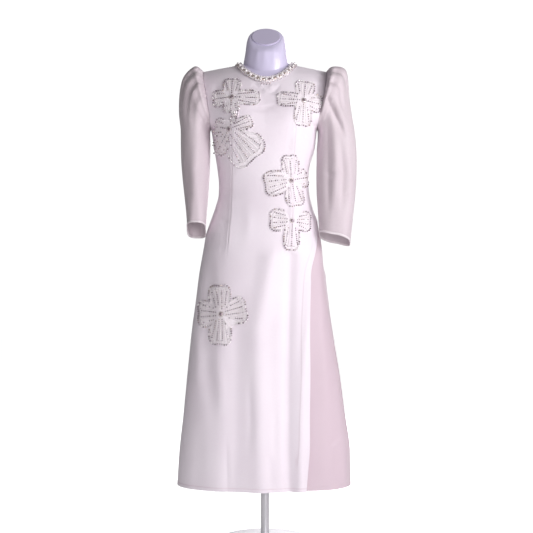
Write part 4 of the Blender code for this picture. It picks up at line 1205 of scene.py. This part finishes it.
@dataclass
class Sleeve:
    """A sheer set-in sleeve with a gathered cap and a narrow rolled cuff hem."""

    finishes: Finishes
    hand: int
    rings: tuple
    creases: tuple
    columns: int = 168
    steps: int = 8
    wall: float = 0.0007

    def loop(self, turn: np.ndarray) -> np.ndarray:
        """Places of the armhole seam, from the shoulder down the front and up the back.

        Args:
            turn: angles round the seam.

        Returns:
            The places.
        """
        down = turn / math.pi
        v = np.where(down <= 1, 1 - down, down - 1)
        side = np.where(down <= 1, FRONT, BACK)
        t_front, z_front = SURFACE.upper(FRONT, np.full(v.shape, float(self.hand)), v)
        t_back, z_back = SURFACE.upper(BACK, np.full(v.shape, float(self.hand)), v)
        t = np.where(side == FRONT, t_front, t_back)
        z = np.where(side == FRONT, z_front, z_back)
        points = SURFACE.points(side, t, z)
        points[..., 0] += self.hand * ARMHOLE_GAP
        return points

    def ring(self, row: tuple, turn: np.ndarray) -> np.ndarray:
        """Places of one ring of the sleeve.

        Args:
            row: the ring's row of the table.
            turn: angles round the ring, 0 at the top.

        Returns:
            The places.
        """
        outer_x, outer_z, inner_x, inner_z, middle_y, half_depth, front_rise, gather = row
        column = turn / math.tau * 28
        top = smooth_step(-0.35, 0.35, np.cos(turn))
        wave = (0.75 + 0.25 * np.cos(2.4 * column)) * np.cos(math.pi * column)
        swell = 1 + gather * top * wave / half_depth
        across = np.cos(turn) * swell
        boxy = np.clip(front_rise / 0.02, 0.0, 1.0)
        squared = mix(across, signed_power(across, 0.62), boxy)
        x = (outer_x + inner_x) / 2 + (outer_x - inner_x) / 2 * squared
        z = (outer_z + inner_z) / 2 + (outer_z - inner_z) / 2 * across
        z = z + front_rise * signed_power(np.sin(turn), 0.42)
        y = middle_y - half_depth * np.sin(turn) * swell
        return np.stack([x, y, z], axis=-1)

    def points(self) -> np.ndarray:
        """Draw smooth curves through the armhole seam and the rings, and crease them.

        Returns:
            The sleeve's outer points, from the armhole to the cuff.
        """
        turn = np.linspace(0.0, math.tau, self.columns + 1)
        keys = np.array([self.loop(turn)] + [self.ring(row, turn) for row in self.rings])
        keys[:, -1] = keys[:, 0]
        before = np.concatenate([keys[:1], keys[:-1]])
        after = np.concatenate([keys[1:], keys[-1:]])
        slopes = (after - before) / 2
        slopes[0] = keys[1] - keys[0]
        slopes[-1] = keys[-1] - keys[-2]
        slopes[-2] = slopes[-1]
        rows = []
        for i in range(len(keys) - 1):
            for step in range(self.steps):
                s = step / self.steps
                near = (1 + 2 * s) * (1 - s) ** 2 * keys[i] + s * s * (3 - 2 * s) * keys[i + 1]
                bend = s * (1 - s) * ((1 - s) * slopes[i] - s * slopes[i + 1])
                rows.append(near + bend)
        rows.append(keys[-1])
        points = np.array(rows)
        normals = grid_normals(points, closed=True) * self.hand
        way = np.arange(len(points))[:, None] / self.steps
        front_side = np.sin(turn)[None, :] > 0.0
        shown = crease_rise(self.creases, points[..., 0], points[..., 2])
        hidden = crease_rise(self.creases, points[..., 0] + 0.010, points[..., 2] - 0.022) * 0.8
        ends = smooth_step(0.6, 2.2, way) * smooth_step(len(keys) - 1.6, len(keys) - 3.0, way)
        edge = np.abs(np.sin(turn))[None, :] ** 0.5
        rise = np.where(front_side, shown, hidden) * ends * edge
        pucker = np.sin(37 * turn + 1.7 * np.sin(5 * turn)) + 0.5 * np.sin(61 * turn + 0.8)
        top = smooth_step(-0.5, 0.2, np.cos(turn))
        rise = rise + 0.0011 * (pucker * (0.25 + 0.75 * top))[None, :] * np.exp(-((way - 0.5) / 0.8) ** 2)
        return points + normals * rise[..., None]

    def build(self) -> list[bpy.types.Object]:
        """Make the sleeve and its cuff hem.

        Returns:
            The sleeve and its hem.
        """
        word = "right" if self.hand > 0 else "left"
        points = self.points()
        flat = flat_lengths(points)
        made = Piece(f"sleeve_organza_{word}", "organza", (self.finishes.organza,)).place(
            grid_mesh(points, flat, closed=True, flip=self.hand < 0)
        )
        give_wall(made, self.wall)
        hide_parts(f"sleeve_{word}")
        rows = self.steps // 2 + 2
        band = points[-rows:]
        normals = grid_normals(points, closed=True)[-rows:] * self.hand
        share = np.linspace(0.0, 1.0, len(band))
        roll = 0.0004 + 0.0006 * np.sin(share * math.pi) ** 0.5
        hem_points = band + normals * roll[:, None, None]
        hem = Piece(f"cuff_hem_{word}", "organza", (self.finishes.organza_hem,)).place(
            grid_mesh(hem_points, flat[-rows:], closed=True, flip=self.hand < 0)
        )
        give_wall(hem, 0.0024)
        return [made, hem]


@dataclass
class BeadWork:
    """Beads and stones that are gathered into one mesh, with one material a kind."""

    shape: bmesh.types.BMesh = field(default_factory=bmesh.new)
    templates: dict = field(default_factory=dict)

    def template(self, kind: str) -> tuple[bpy.types.Mesh, np.ndarray]:
        """A bead of radius 1 that sits on z = 0.

        Args:
            kind: bead, stone or pearl.

        Returns:
            The mesh and its points.
        """
        if kind in self.templates:
            return self.templates[kind]
        shape = bmesh.new()
        if kind == "bead":
            bmesh.ops.create_icosphere(shape, subdivisions=1, radius=1.0)
            bmesh.ops.translate(shape, verts=shape.verts, vec=(0.0, 0.0, 0.75))
        elif kind == "pearl":
            bmesh.ops.create_uvsphere(shape, u_segments=14, v_segments=9, radius=1.0)
            bmesh.ops.translate(shape, verts=shape.verts, vec=(0.0, 0.0, 0.8))
        else:
            bmesh.ops.create_circle(shape, cap_ends=True, segments=8, radius=1.0)
            base = list(shape.faces)
            for depth, width in ((0.30, 1.0), (0.28, 0.62)):
                grown = bmesh.ops.extrude_face_region(shape, geom=base)
                verts = [item for item in grown["geom"] if isinstance(item, bmesh.types.BMVert)]
                bmesh.ops.delete(shape, geom=base, context="FACES_ONLY")
                base = [item for item in grown["geom"] if isinstance(item, bmesh.types.BMFace)]
                bmesh.ops.translate(shape, verts=verts, vec=(0.0, 0.0, depth))
                middle = sum((vert.co for vert in verts), Vector()) / len(verts)
                about = Matrix.Translation(-middle)
                bmesh.ops.scale(shape, verts=verts, vec=(width, width, 1.0), space=about)
                bmesh.ops.rotate(
                    shape, verts=verts, cent=middle, matrix=Matrix.Rotation(math.pi / 8, 3, "Z")
                )
            rim = [edge for edge in shape.edges if edge.is_boundary]
            bmesh.ops.holes_fill(shape, edges=rim)
            bmesh.ops.triangulate(shape, faces=shape.faces)
            bmesh.ops.recalc_face_normals(shape, faces=shape.faces)
        mesh = bpy.data.meshes.new(kind)
        shape.to_mesh(mesh)
        shape.free()
        points = np.array([vert.co for vert in mesh.vertices])
        self.templates[kind] = (mesh, points)
        return self.templates[kind]

    def add(
        self, kind: str, place: np.ndarray, normal: np.ndarray, size: float, slot: int, turn: float = 0.0,
        flat: tuple = (1.0, 1.0, 1.0),
    ) -> None:
        """Add one bead or stone.

        Args:
            kind: the template's name.
            place: where it sits.
            normal: the direction that it points in.
            size: its radius.
            slot: index of its material.
            turn: its turn round the normal, in radians.
            flat: its scale along its own three axes.
        """
        mesh, points = self.template(kind)
        up = Vector(normal).normalized()
        side = up.cross(Vector((0.0, 0.0, 1.0)))
        side = side.normalized() if side.length > 1e-3 else Vector((1.0, 0.0, 0.0))
        other = up.cross(side)
        axes = np.array([side, other, up])
        cosine, sine = math.cos(turn), math.sin(turn)
        axes[:2] = np.array([[cosine, sine], [-sine, cosine]]) @ axes[:2]
        moved = (points * np.array(flat) * size) @ axes + np.array(place)
        mesh.vertices.foreach_set("co", moved.ravel())
        mesh.polygons.foreach_set("material_index", [slot] * len(mesh.polygons))
        self.shape.from_mesh(mesh)

    def mesh(self) -> bpy.types.Mesh:
        """Close the work.

        Returns:
            The gathered mesh.
        """
        mesh = bpy.data.meshes.new("beads")
        self.shape.to_mesh(mesh)
        self.shape.free()
        for template, _ in self.templates.values():
            bpy.data.meshes.remove(template)
        return mesh


@dataclass
class NeckTrim:
    """The jewelled band round the neckline: ribbon, set stones, pearls and edge beads."""

    finishes: Finishes
    stones: int = TRIM_STONES
    gap: float = 0.0010

    def place(self, turn: np.ndarray, away: np.ndarray) -> np.ndarray:
        """Places on the cloth at angles round the neck, away from its edge.

        Args:
            turn: angles, 0 at the right shoulder and a quarter turn at the front.
            away: how far outside the neckline.

        Returns:
            The places.
        """
        side = np.where(np.sin(turn) >= 0, FRONT, BACK)
        half = NECK_HALF + away
        end = SURFACE.ridge_z(half)
        middle = np.where(side == FRONT, FRONT_NECK_Z, BACK_NECK_Z) - away * 1.1
        z = end - (end - middle) * np.abs(np.sin(turn)) ** 1.6
        x = half * np.cos(turn)
        z = np.minimum(z, SURFACE.ridge_z(x))
        left, right = SURFACE.levels.at(z)[:2]
        return SURFACE.points(side, x / ((right - left) / 2), z)

    def spots(self, turn: np.ndarray, away: np.ndarray) -> tuple[np.ndarray, np.ndarray, np.ndarray]:
        """Places on the band, their outward directions and the directions along the band.

        Args:
            turn: angles round the neck.
            away: how far outside the neckline.

        Returns:
            Three arrays with x, y and z on the last axis.
        """
        step = 0.012
        turn, away = np.broadcast_arrays(np.asarray(turn, float), np.asarray(away, float))
        here = self.place(turn, away)
        along = self.place(turn + step, away) - self.place(turn - step, away)
        inner = np.maximum(away - 0.002, 0.0)
        across = self.place(turn, inner + 0.004) - self.place(turn, inner)
        normal = np.cross(along, across)
        normal /= np.linalg.norm(normal, axis=-1, keepdims=True)
        at_front = np.sin(turn) >= 0
        outward = np.where(at_front, -normal[..., 1], normal[..., 1]) + 0.8 * normal[..., 2]
        normal = normal * np.sign(outward)[..., None]
        along = along / np.linalg.norm(along, axis=-1, keepdims=True)
        return here + normal * self.gap, normal, along

    def ribbon(self) -> bpy.types.Object:
        """Make the band's ribbon, a little higher along its middle.

        Returns:
            The ribbon's object.
        """
        turns = np.linspace(0.0, math.tau, 193)
        shares = np.linspace(0.0, 1.0, 7)
        turn, share = np.meshgrid(turns, shares)
        here, normal, _ = self.spots(turn, TRIM_WIDTH * (0.03 + 0.94 * share))
        points = here + normal * (0.0012 * (1 - (2 * share - 1) ** 4))[..., None]
        points[:, -1] = points[:, 0]
        ribbon = Piece("trim_ribbon", "stones", (self.finishes.embroidery,)).place(
            grid_mesh(points, flat_lengths(points), closed=True, flip=True)
        )
        give_wall(ribbon, 0.0008)
        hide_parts("neck_trim")
        return ribbon

    def jewels(self, work: BeadWork, rng: np.random.Generator) -> None:
        """Set the stones, their claws and the pearls along the middle of the band.

        Args:
            work: the beadwork that they join.
            rng: draws sizes and kinds.
        """
        turns = math.tau * (np.arange(self.stones) + 0.5) / self.stones
        places, normals, alongs = self.spots(turns, TRIM_WIDTH * 0.52)
        for place, normal, along in zip(places, normals, alongs):
            here = place + normal * 0.0012
            slot = SMOKE if rng.random() < 0.25 else CHAMPAGNE
            size = 0.0047 * (0.94 + 0.12 * rng.random())
            work.add("pearl", here, normal, size * 1.14, SETTING, flat=(1.0, 1.0, 0.22))
            work.add("stone", here + normal * 0.0004, normal, size, slot, turn=rng.random())
            for corner in range(4):
                lean = math.pi / 4 + corner * math.pi / 2
                side = along * math.cos(lean) + np.cross(normal, along) * math.sin(lean)
                work.add("bead", here + side * size * 0.98 + normal * 0.0013, normal, 0.0009, SETTING)
        turns = turns + math.pi / self.stones
        shares = 0.40 + 0.16 * rng.random(self.stones)
        places, normals, _ = self.spots(turns, TRIM_WIDTH * shares)
        for place, normal in zip(places, normals):
            work.add("pearl", place + normal * 0.0012, normal, 0.0037, PEARL)
        for share, radius, slot in ((0.12, 0.0017, CRYSTAL), (0.80, 0.0022, CHAMPAGNE)):
            places, normals, _ = self.spots(turns, TRIM_WIDTH * share)
            for place, normal in zip(places, normals):
                work.add("bead", place + normal * 0.0008, normal, radius, slot)

    def edges(self, work: BeadWork) -> None:
        """Sew a row of small beads along both edges and a few that hang at the front.

        Args:
            work: the beadwork that they join.
        """
        rows = (
            (0.05, 150, 0.0013, (PEARL, CRYSTAL)),
            (0.97, 170, 0.0014, (CRYSTAL, SMOKE, CRYSTAL, CHAMPAGNE)),
        )
        for share, count, radius, slots in rows:
            places, normals, _ = self.spots(math.tau * np.arange(count) / count, TRIM_WIDTH * share)
            for number, (place, normal) in enumerate(zip(places, normals)):
                work.add("bead", place + normal * 0.0002, normal, radius, slots[number % len(slots)])
        for step in range(2):
            turns = np.array([1.45, 1.53, 1.62, 1.70]) + 0.02 * step
            places, normals, _ = self.spots(turns, TRIM_WIDTH * (1.16 + 0.14 * step))
            for place, normal in zip(places, normals):
                work.add("bead", place, normal, 0.0015, (CHAMPAGNE, SMOKE)[step])

    def build(self) -> list[bpy.types.Object]:
        """Make the band and what is set on it.

        Returns:
            The ribbon and the beadwork.
        """
        ribbon = self.ribbon()
        work = BeadWork()
        self.jewels(work, np.random.default_rng(11))
        self.edges(work)
        kinds = self.finishes.bead_kinds()
        beads = Piece("trim_stones", "stones", kinds).place(work.mesh(), 24.0)
        return [ribbon, beads]


@dataclass(frozen=True)
class FlowerPlan:
    """One embroidered flower: its middle and its petals as (turn, length, spread, half width)."""

    number: int
    x: float
    z: float
    petals: tuple


FLOWER_PLANS = (
    FlowerPlan(
        1, -0.0970, 1.3225,
        ((-3, 0.088, 42, 0.026), (87, 0.060, 45, 0.029), (185, 0.057, 44, 0.028), (269, 0.050, 42, 0.025)),
    ),
    FlowerPlan(
        2, -0.1037, 1.2300,
        (
            (18, 0.074, 26, 0.020), (64, 0.052, 20, 0.0095), (165, 0.046, 44, 0.026), (240, 0.080, 28, 0.026),
            (310, 0.121, 42, 0.060),
        ),
    ),
    FlowerPlan(
        3, 0.1127, 1.3129,
        ((84, 0.062, 44, 0.031), (178, 0.082, 43, 0.025), (266, 0.077, 43, 0.029), (350, 0.055, 41, 0.028)),
    ),
    FlowerPlan(
        4, 0.0769, 1.0823,
        ((14, 0.050, 42, 0.028), (94, 0.077, 39, 0.028), (191, 0.083, 50, 0.042), (281, 0.081, 38, 0.030)),
    ),
    FlowerPlan(
        5, 0.0789, 0.9631,
        ((178, 0.067, 48, 0.036), (268, 0.090, 42, 0.027), (357, 0.057, 46, 0.032)),
    ),
    FlowerPlan(
        6, -0.1273, 0.6920,
        ((12, 0.080, 42, 0.041), (94, 0.088, 39, 0.036), (181, 0.072, 47, 0.042), (268, 0.094, 40, 0.037)),
    ),
)
# Where the shares of SMOKE, CHAMPAGNE and CRYSTAL beads end; the rest are PEARL.
OUTLINE_SHARES = (0.34, 0.48, 0.76)
RAY_SHARES = (0.55, 0.68, 0.90)
PETAL_POWER = 0.86
PETAL_BASE = 0.58
PETAL_FLARE = 0.58
SEAM_MARGIN = 0.004


@dataclass
class Flower:
    """A flower of satin stitch with beaded outlines, beaded rays and a centre stone."""

    finishes: Finishes
    plan: FlowerPlan
    plate: float = 0.0009
    pitch: float = 0.0064

    def rim(self, petal: tuple, share: np.ndarray) -> tuple[np.ndarray, np.ndarray]:
        """Turn and reach of a petal's outline.

        Args:
            petal: its turn, length, spread and half width.
            share: from -1 at one side of the petal to 1 at the other.

        Returns:
            The turns in radians, and the reach at each.
        """
        turn, length, spread, half = petal
        notch = PETAL_BASE * half / (math.tan(math.radians(spread)) * length - PETAL_FLARE * half)
        angle = math.pi / 2 * share
        tip = np.clip(np.cos(angle), 0.0, 1.0) ** PETAL_POWER
        along = length * (notch + (1 - notch) * tip) * (1 - 0.07 * np.exp(-((share / 0.20) ** 2)))
        flare = PETAL_BASE + PETAL_FLARE * along / length
        across = half * flare * signed_power(np.sin(angle), PETAL_POWER)
        return math.radians(turn) + np.arctan2(across, along), np.hypot(along, across)

    def clamp(self, x: np.ndarray, z: np.ndarray) -> np.ndarray:
        """Keep places inside the armhole seam.

        Args:
            x: places across.
            z: heights.

        Returns:
            The places across, moved in where they passed the seam.
        """
        limit = SURFACE.armhole.at(z)[0] - SEAM_MARGIN
        limit = np.where(z > ARMPIT_Z, limit, 1.0)
        return np.clip(x, -limit, limit)

    def spots(self, turn: np.ndarray, reach: np.ndarray, lift: float) -> tuple[np.ndarray, np.ndarray]:
        """Places and outward directions on the cloth round the flower's middle.

        Args:
            turn: angles in radians.
            reach: distances from the middle.
            lift: how far above the cloth.

        Returns:
            The places and the directions.
        """
        z = self.plan.z + reach * np.sin(turn)
        x = self.clamp(self.plan.x + reach * np.cos(turn), z)
        normal = SURFACE.front_normal(x, z)
        return SURFACE.front_point(x, z) + normal * lift, normal

    def outline(self, petal: tuple, scale: float, pitch: float) -> tuple[np.ndarray, np.ndarray]:
        """Evenly spaced places along a petal's outline.

        Args:
            petal: its turn, length, spread and half width.
            scale: share of the full reach.
            pitch: spacing in metres.

        Returns:
            Turns and reaches.
        """
        share = np.linspace(-1.0, 1.0, 240)
        turn, reach = self.rim(petal, share)
        reach = reach * scale
        steps = np.hypot(np.diff(reach * np.cos(turn)), np.diff(reach * np.sin(turn)))
        way = np.concatenate([[0.0], np.cumsum(steps)])
        count = max(int(way[-1] / pitch), 2)
        even = np.linspace(0.0, way[-1], count, endpoint=False)
        return np.interp(even, way, turn), np.interp(even, way, reach)

    def petals_mesh(self) -> bpy.types.Mesh:
        """Lay the satin-stitched ground of all petals, ribbed along the stitches, with painted shade between
        the ribs and along the rim.

        Returns:
            The ground's mesh.
        """
        rims = []
        for petal in self.plan.petals:
            rims.append(self.rim(petal, np.linspace(-0.97, 0.97, 40)))
        turn = np.concatenate([rim[0] for rim in rims])
        reach = np.concatenate([rim[1] for rim in rims])
        turn = np.append(turn, turn[0] + math.tau)
        reach = np.append(reach, reach[0])
        rows = []
        flats = []
        ground_shades = []
        shares = np.linspace(0.02, 1.0, 22)
        for share in shares:
            edge = float(smooth_step(1.0, 0.93, share))
            rib = 0.00030 * np.sin(turn * 48.0) * (1 - np.exp(-share * 6))
            vein = 0.00035 * np.exp(-(((share - 0.93) / 0.03) ** 2))
            lift = 0.0004 + (self.plate - 0.0004) * edge + vein
            place, normal = self.spots(turn, reach * share, 0.0)
            rows.append(place + normal * (lift + rib * edge)[..., None])
            flats.append(np.stack([turn * reach * 0.6, reach * share], axis=-1))
            # Painted shade in the grooves between the stitch ribs, and darker along the ground's rim.
            rib_groove_shade = 0.16 * (0.5 - 0.5 * np.sin(turn * 48.0)) * edge
            ground_shades.append(rib_groove_shade + 0.12 * (1 - edge))
        points = np.array(rows)
        points[:, -1] = points[:, 0]
        return grid_mesh(points, np.array(flats), np.array(ground_shades), closed=True, flip=True)

    def build(self) -> list[bpy.types.Object]:
        """Make the flower's ground and its beadwork.

        Returns:
            Both objects.
        """
        plan = self.plan
        ground = Piece(f"flower_{plan.number}_ground", "embroidery", (self.finishes.embroidery,)).place(
            self.petals_mesh()
        )
        give_wall(ground, 0.0003)
        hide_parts(f"flower_{plan.number}")
        work = BeadWork()
        rng = np.random.default_rng(40 + plan.number)
        for petal in plan.petals:
            turn, reach = self.outline(petal, 1.0, self.pitch)
            places, normals = self.spots(turn, reach, self.plate)
            for place, normal in zip(places, normals):
                draw = rng.random()
                slot = int(np.searchsorted(OUTLINE_SHARES, draw, side="right"))
                radius = 0.0031 if draw > 0.93 else 0.0022 + 0.0007 * rng.random()
                work.add("bead", place, normal, radius, slot)
            turn, reach = self.outline(petal, 0.88, 0.0036)
            places, normals = self.spots(turn, reach, self.plate)
            for place, normal in zip(places, normals):
                work.add("bead", place, normal, 0.0014, PEARL if rng.random() < 0.80 else CRYSTAL)
            self.rays(work, petal, rng)
        place, normal = self.spots(np.array(0.0), np.array(0.0), self.plate)
        work.add("pearl", place, normal, 0.0062, SETTING, flat=(1.0, 1.0, 0.16))
        work.add("stone", place + normal * 0.0006, normal, 0.0050, SMOKE, turn=0.3)
        for number in range(16):
            angle = math.tau * number / 16
            place, normal = self.spots(np.array(angle), np.array(0.0074), self.plate)
            work.add("bead", place, normal, 0.0011, CRYSTAL if number % 2 else CHAMPAGNE)
        kinds = self.finishes.bead_kinds()
        beads = Piece(f"flower_{plan.number}_beads", "stones", kinds).place(work.mesh(), 24.0)
        return [ground, beads]

    def rays(self, work: BeadWork, petal: tuple, rng: np.random.Generator) -> None:
        """Add lines of beads that run from the centre into a petal.

        Args:
            work: the beadwork that they join.
            petal: its turn, length, spread and half width.
            rng: draws the beads' kinds.
        """
        count = 5 if petal[3] < 0.032 else 7
        for line, share in enumerate(np.linspace(-0.74, 0.74, count)):
            dark_line = line % 2 == 0
            pitch = 0.0060 if dark_line else 0.0034
            along = np.arange(0.0125 + 0.012 * abs(share), petal[1] * (0.86 - 0.10 * abs(share)), pitch)
            across = share * petal[3] * (0.35 + 0.65 * along / petal[1])
            reach = np.hypot(along, across)
            turns = math.radians(petal[0]) + np.arctan2(across, along)
            places, normals = self.spots(turns, reach, self.plate)
            for place, normal in zip(places, normals):
                kind = rng.random()
                if dark_line:
                    slot = int(np.searchsorted(RAY_SHARES, kind, side="right"))
                    work.add("bead", place, normal, 0.0017 + 0.0006 * rng.random(), slot)
                else:
                    work.add("bead", place, normal, 0.0013, PEARL)


@dataclass
class DressForm:
    """The moulded form inside the tunic and its stand."""

    finishes: Finishes
    centre: tuple = (0.003, 0.004)
    cap_centre: tuple = (0.003, -0.002, 1.517)
    cover: float = 0.0014
    rim_radius: float = 0.0455
    flutes: tuple = (
        (-2.20, 0.16, 0.0011), (-1.82, 0.12, 0.0009), (-1.40, 0.14, 0.0011), (-1.02, 0.10, 0.0007),
        (-0.35, 0.20, 0.0006), (0.55, 0.22, 0.0006), (1.30, 0.16, 0.0008), (2.10, 0.18, 0.0008),
        (2.85, 0.16, 0.0006),
    )
    rows: tuple = (
        (1.4000, 0.0685, 0.0592),
        (1.4250, 0.0672, 0.0592),
        (1.4450, 0.0652, 0.0582),
        (1.4600, 0.0624, 0.0562),
    )

    def neck(self) -> bpy.types.Object:
        """Make the smooth fluted skin of the neck, drawn in to the rim of its slanted cap.

        Returns:
            The neck's object.
        """
        heights = np.linspace(1.400, 1.460, 16)
        half, depth = Profile(self.rows).at(heights)
        turn = np.linspace(0.0, math.tau, 121)
        dent = np.zeros(turn.shape)
        for middle, width, deep in self.flutes:
            off = np.angle(np.exp(1j * (turn - middle)))
            dent += deep * np.exp(-((off / width) ** 2))
        fade = smooth_step(1.415, 1.440, heights)
        cover = self.cover - dent[None, :] * fade[:, None]
        x = self.centre[0] + (half[:, None] + cover) * np.cos(turn)
        y = self.centre[1] + (depth[:, None] + cover) * np.sin(turn)
        lower = np.stack([x, y, np.broadcast_to(heights[:, None], x.shape)], axis=-1)
        slant = math.sqrt(0.5)
        facing = np.array([0.0, -slant, slant])
        outward = np.stack([np.cos(turn), slant * np.sin(turn), slant * np.sin(turn)], axis=-1)
        rim = np.array(self.cap_centre) + facing * 0.00012 + self.rim_radius * outward
        start = lower[-1]
        reach = np.linalg.norm(rim - start, axis=-1, keepdims=True)
        rising = start - lower[-3]
        rising = rising / np.linalg.norm(rising, axis=-1, keepdims=True) * reach * 1.15
        closing = -outward * reach * 0.75
        t = np.linspace(0.0, 1.0, 27)[1:, None, None]
        upper = (
            (2 * t**3 - 3 * t**2 + 1) * start
            + (t**3 - 2 * t**2 + t) * rising
            + (-2 * t**3 + 3 * t**2) * rim
            + (t**3 - t**2) * closing
        )
        points = np.concatenate([lower, upper])
        points[:, -1] = points[:, 0]
        mesh = grid_mesh(points, flat_lengths(points), closed=True)
        shape = bmesh.new()
        shape.from_mesh(mesh)
        bmesh.ops.holes_fill(shape, edges=[edge for edge in shape.edges if edge.is_boundary])
        bmesh.ops.recalc_face_normals(shape, faces=shape.faces)
        shape.to_mesh(mesh)
        shape.free()
        return Piece("form_neck_skin", "form_shell", (self.finishes.shell,)).place(mesh, 50.0)

    def torso(self) -> bpy.types.Object:
        """Make the torso's skin from the solid, up to inside the neck's skin.

        Returns:
            The torso's object.
        """
        shape = bmesh.new()
        shape.from_mesh(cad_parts["form_torso"].data)
        bmesh.ops.remove_doubles(shape, verts=shape.verts, dist=1e-6)
        bmesh.ops.bisect_plane(
            shape,
            geom=list(shape.verts) + list(shape.edges) + list(shape.faces),
            plane_co=(0.0, 0.0, 1.440),
            plane_no=(0.0, 0.0, 1.0),
            clear_outer=True,
        )
        bmesh.ops.holes_fill(shape, edges=[edge for edge in shape.edges if edge.is_boundary])
        bmesh.ops.recalc_face_normals(shape, faces=shape.faces)
        mesh = bpy.data.meshes.new("torso")
        shape.to_mesh(mesh)
        shape.free()
        made = Piece("form_torso_skin", "form_shell", (self.finishes.shell,)).place(mesh, 40.0)
        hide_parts("form_torso")
        return made

    def dress(self) -> None:
        """Give the form's carried-over solids their finishes."""
        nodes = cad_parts
        finishes = {
            "form_neck_cap": self.finishes.cap,
            "form_socket": self.finishes.lacquer,
            "form_pole": self.finishes.lacquer,
            "form_base": self.finishes.lacquer,
            "zip_slider": self.finishes.lacquer,
            "zip_pull": self.finishes.lacquer,
        }
        for name, material in finishes.items():
            mesh = nodes[name].data
            mesh.materials.clear()
            mesh.materials.append(material)


@dataclass(frozen=True)
class Lamp:
    """A soft square lamp that looks at a place."""

    name: str
    place: tuple
    aim: tuple
    size: float
    power: float
    colour: tuple

    def build(self) -> None:
        """Put the lamp in the scene."""
        data = bpy.data.lights.new(self.name, "AREA")
        data.shape = "SQUARE"
        data.size = self.size
        data.energy = self.power
        data.color = self.colour
        made = bpy.data.objects.new(self.name, data)
        made.location = self.place
        made.rotation_euler = (Vector(self.aim) - Vector(self.place)).to_track_quat("-Z", "Y").to_euler()
        bpy.context.scene.collection.objects.link(made)


@dataclass
class Studio:
    """Camera, soft light, pale floor and white surroundings."""

    distance: float = 3.2
    height: float = 0.830
    aside: float = 0.0045
    lens: float = 72.0
    ambient: float = 0.22
    lamps: tuple = (
        Lamp("key", (2.00, -1.50, 1.75), (0.0, 0.0, 1.05), 1.0, 38.0, (1.0, 0.985, 1.0)),
        Lamp("front", (1.2, -2.8, 1.10), (0.0, 0.0, 0.85), 0.9, 22.0, (1.0, 0.985, 1.0)),
        Lamp("fill", (-1.15, -1.45, 0.10), (-0.10, -0.1, 0.40), 0.6, 3.0, (1.0, 0.97, 1.0)),
        Lamp("low", (0.30, -1.75, 0.05), (0.05, -0.1, 0.40), 0.5, 4.5, (1.0, 0.98, 1.0)),
        Lamp("back", (0.5, 2.6, 1.7), (0.0, 0.0, 0.9), 1.6, 40.0, (1.0, 0.985, 1.0)),
    )

    def camera(self) -> None:
        """Place the level camera."""
        data = bpy.data.cameras.new("camera")
        data.lens = self.lens
        data.sensor_width = 36.0
        made = bpy.data.objects.new("camera", data)
        made.location = (self.aside, -self.distance, self.height)
        made.rotation_euler = (math.pi / 2, 0.0, 0.0)
        bpy.context.scene.collection.objects.link(made)
        bpy.context.scene.camera = made

    def build(self) -> None:
        """Make the camera, lamps, floor and surroundings."""
        self.camera()
        bpy.context.scene.view_settings.view_transform = "Standard"
        for lamp in self.lamps:
            lamp.build()
        world = bpy.data.worlds.new("surroundings")
        bpy.context.scene.world = world
        world.use_nodes = True
        tree = world.node_tree
        shade = tree.nodes["Background"]
        shade.inputs["Color"].default_value = (1.0, 1.0, 1.0, 1.0)
        path = tree.nodes.new("ShaderNodeLightPath")
        strength = tree.nodes.new("ShaderNodeMapRange")
        strength.inputs["To Min"].default_value = self.ambient
        strength.inputs["To Max"].default_value = 1.05
        tree.links.new(path.outputs["Is Camera Ray"], strength.inputs["Value"])
        tree.links.new(strength.outputs[0], shade.inputs["Strength"])
        shape = bmesh.new()
        bmesh.ops.create_grid(shape, x_segments=1, y_segments=1, size=9.0)
        mesh = bpy.data.meshes.new("floor")
        shape.to_mesh(mesh)
        shape.free()
        floor = bpy.data.objects.new("floor", mesh)
        bpy.context.scene.collection.objects.link(floor)
        links = Links("pale_floor")
        grain = links.noise(links.object_place(), 3.0)
        pale = links.blend(grain, (0.90, 0.90, 0.90), (0.93, 0.93, 0.93))
        links.join(pale, links.shader.inputs["Base Color"])
        links.set(Roughness=0.85, Emission_Color=(1.0, 1.0, 1.0, 1.0))
        seen = links.node("ShaderNodeLightPath").outputs["Is Camera Ray"]
        links.join(links.math("MULTIPLY", seen, 0.80), links.shader.inputs["Emission Strength"])
        mesh.materials.append(links.material)


def main() -> None:
    """Make every piece in order and report it."""
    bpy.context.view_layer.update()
    Studio().build()
    finishes = Finishes()
    finishes.build()
    front = FrontPanel(finishes).build()
    backs = [BackPanel(finishes, hand).build() for hand in (-1, 1)]
    left = Sleeve(finishes, -1, LEFT_SLEEVE_ROWS, LEFT_SLEEVE_CREASES).build()
    right = Sleeve(finishes, 1, RIGHT_SLEEVE_ROWS, RIGHT_SLEEVE_CREASES).build()
    NeckTrim(finishes).build()
    for plan in FLOWER_PLANS:
        Flower(finishes, plan).build()
    form = DressForm(finishes)
    form.torso()
    form.neck()
    form.dress()


if __name__ == "__main__":
    main()
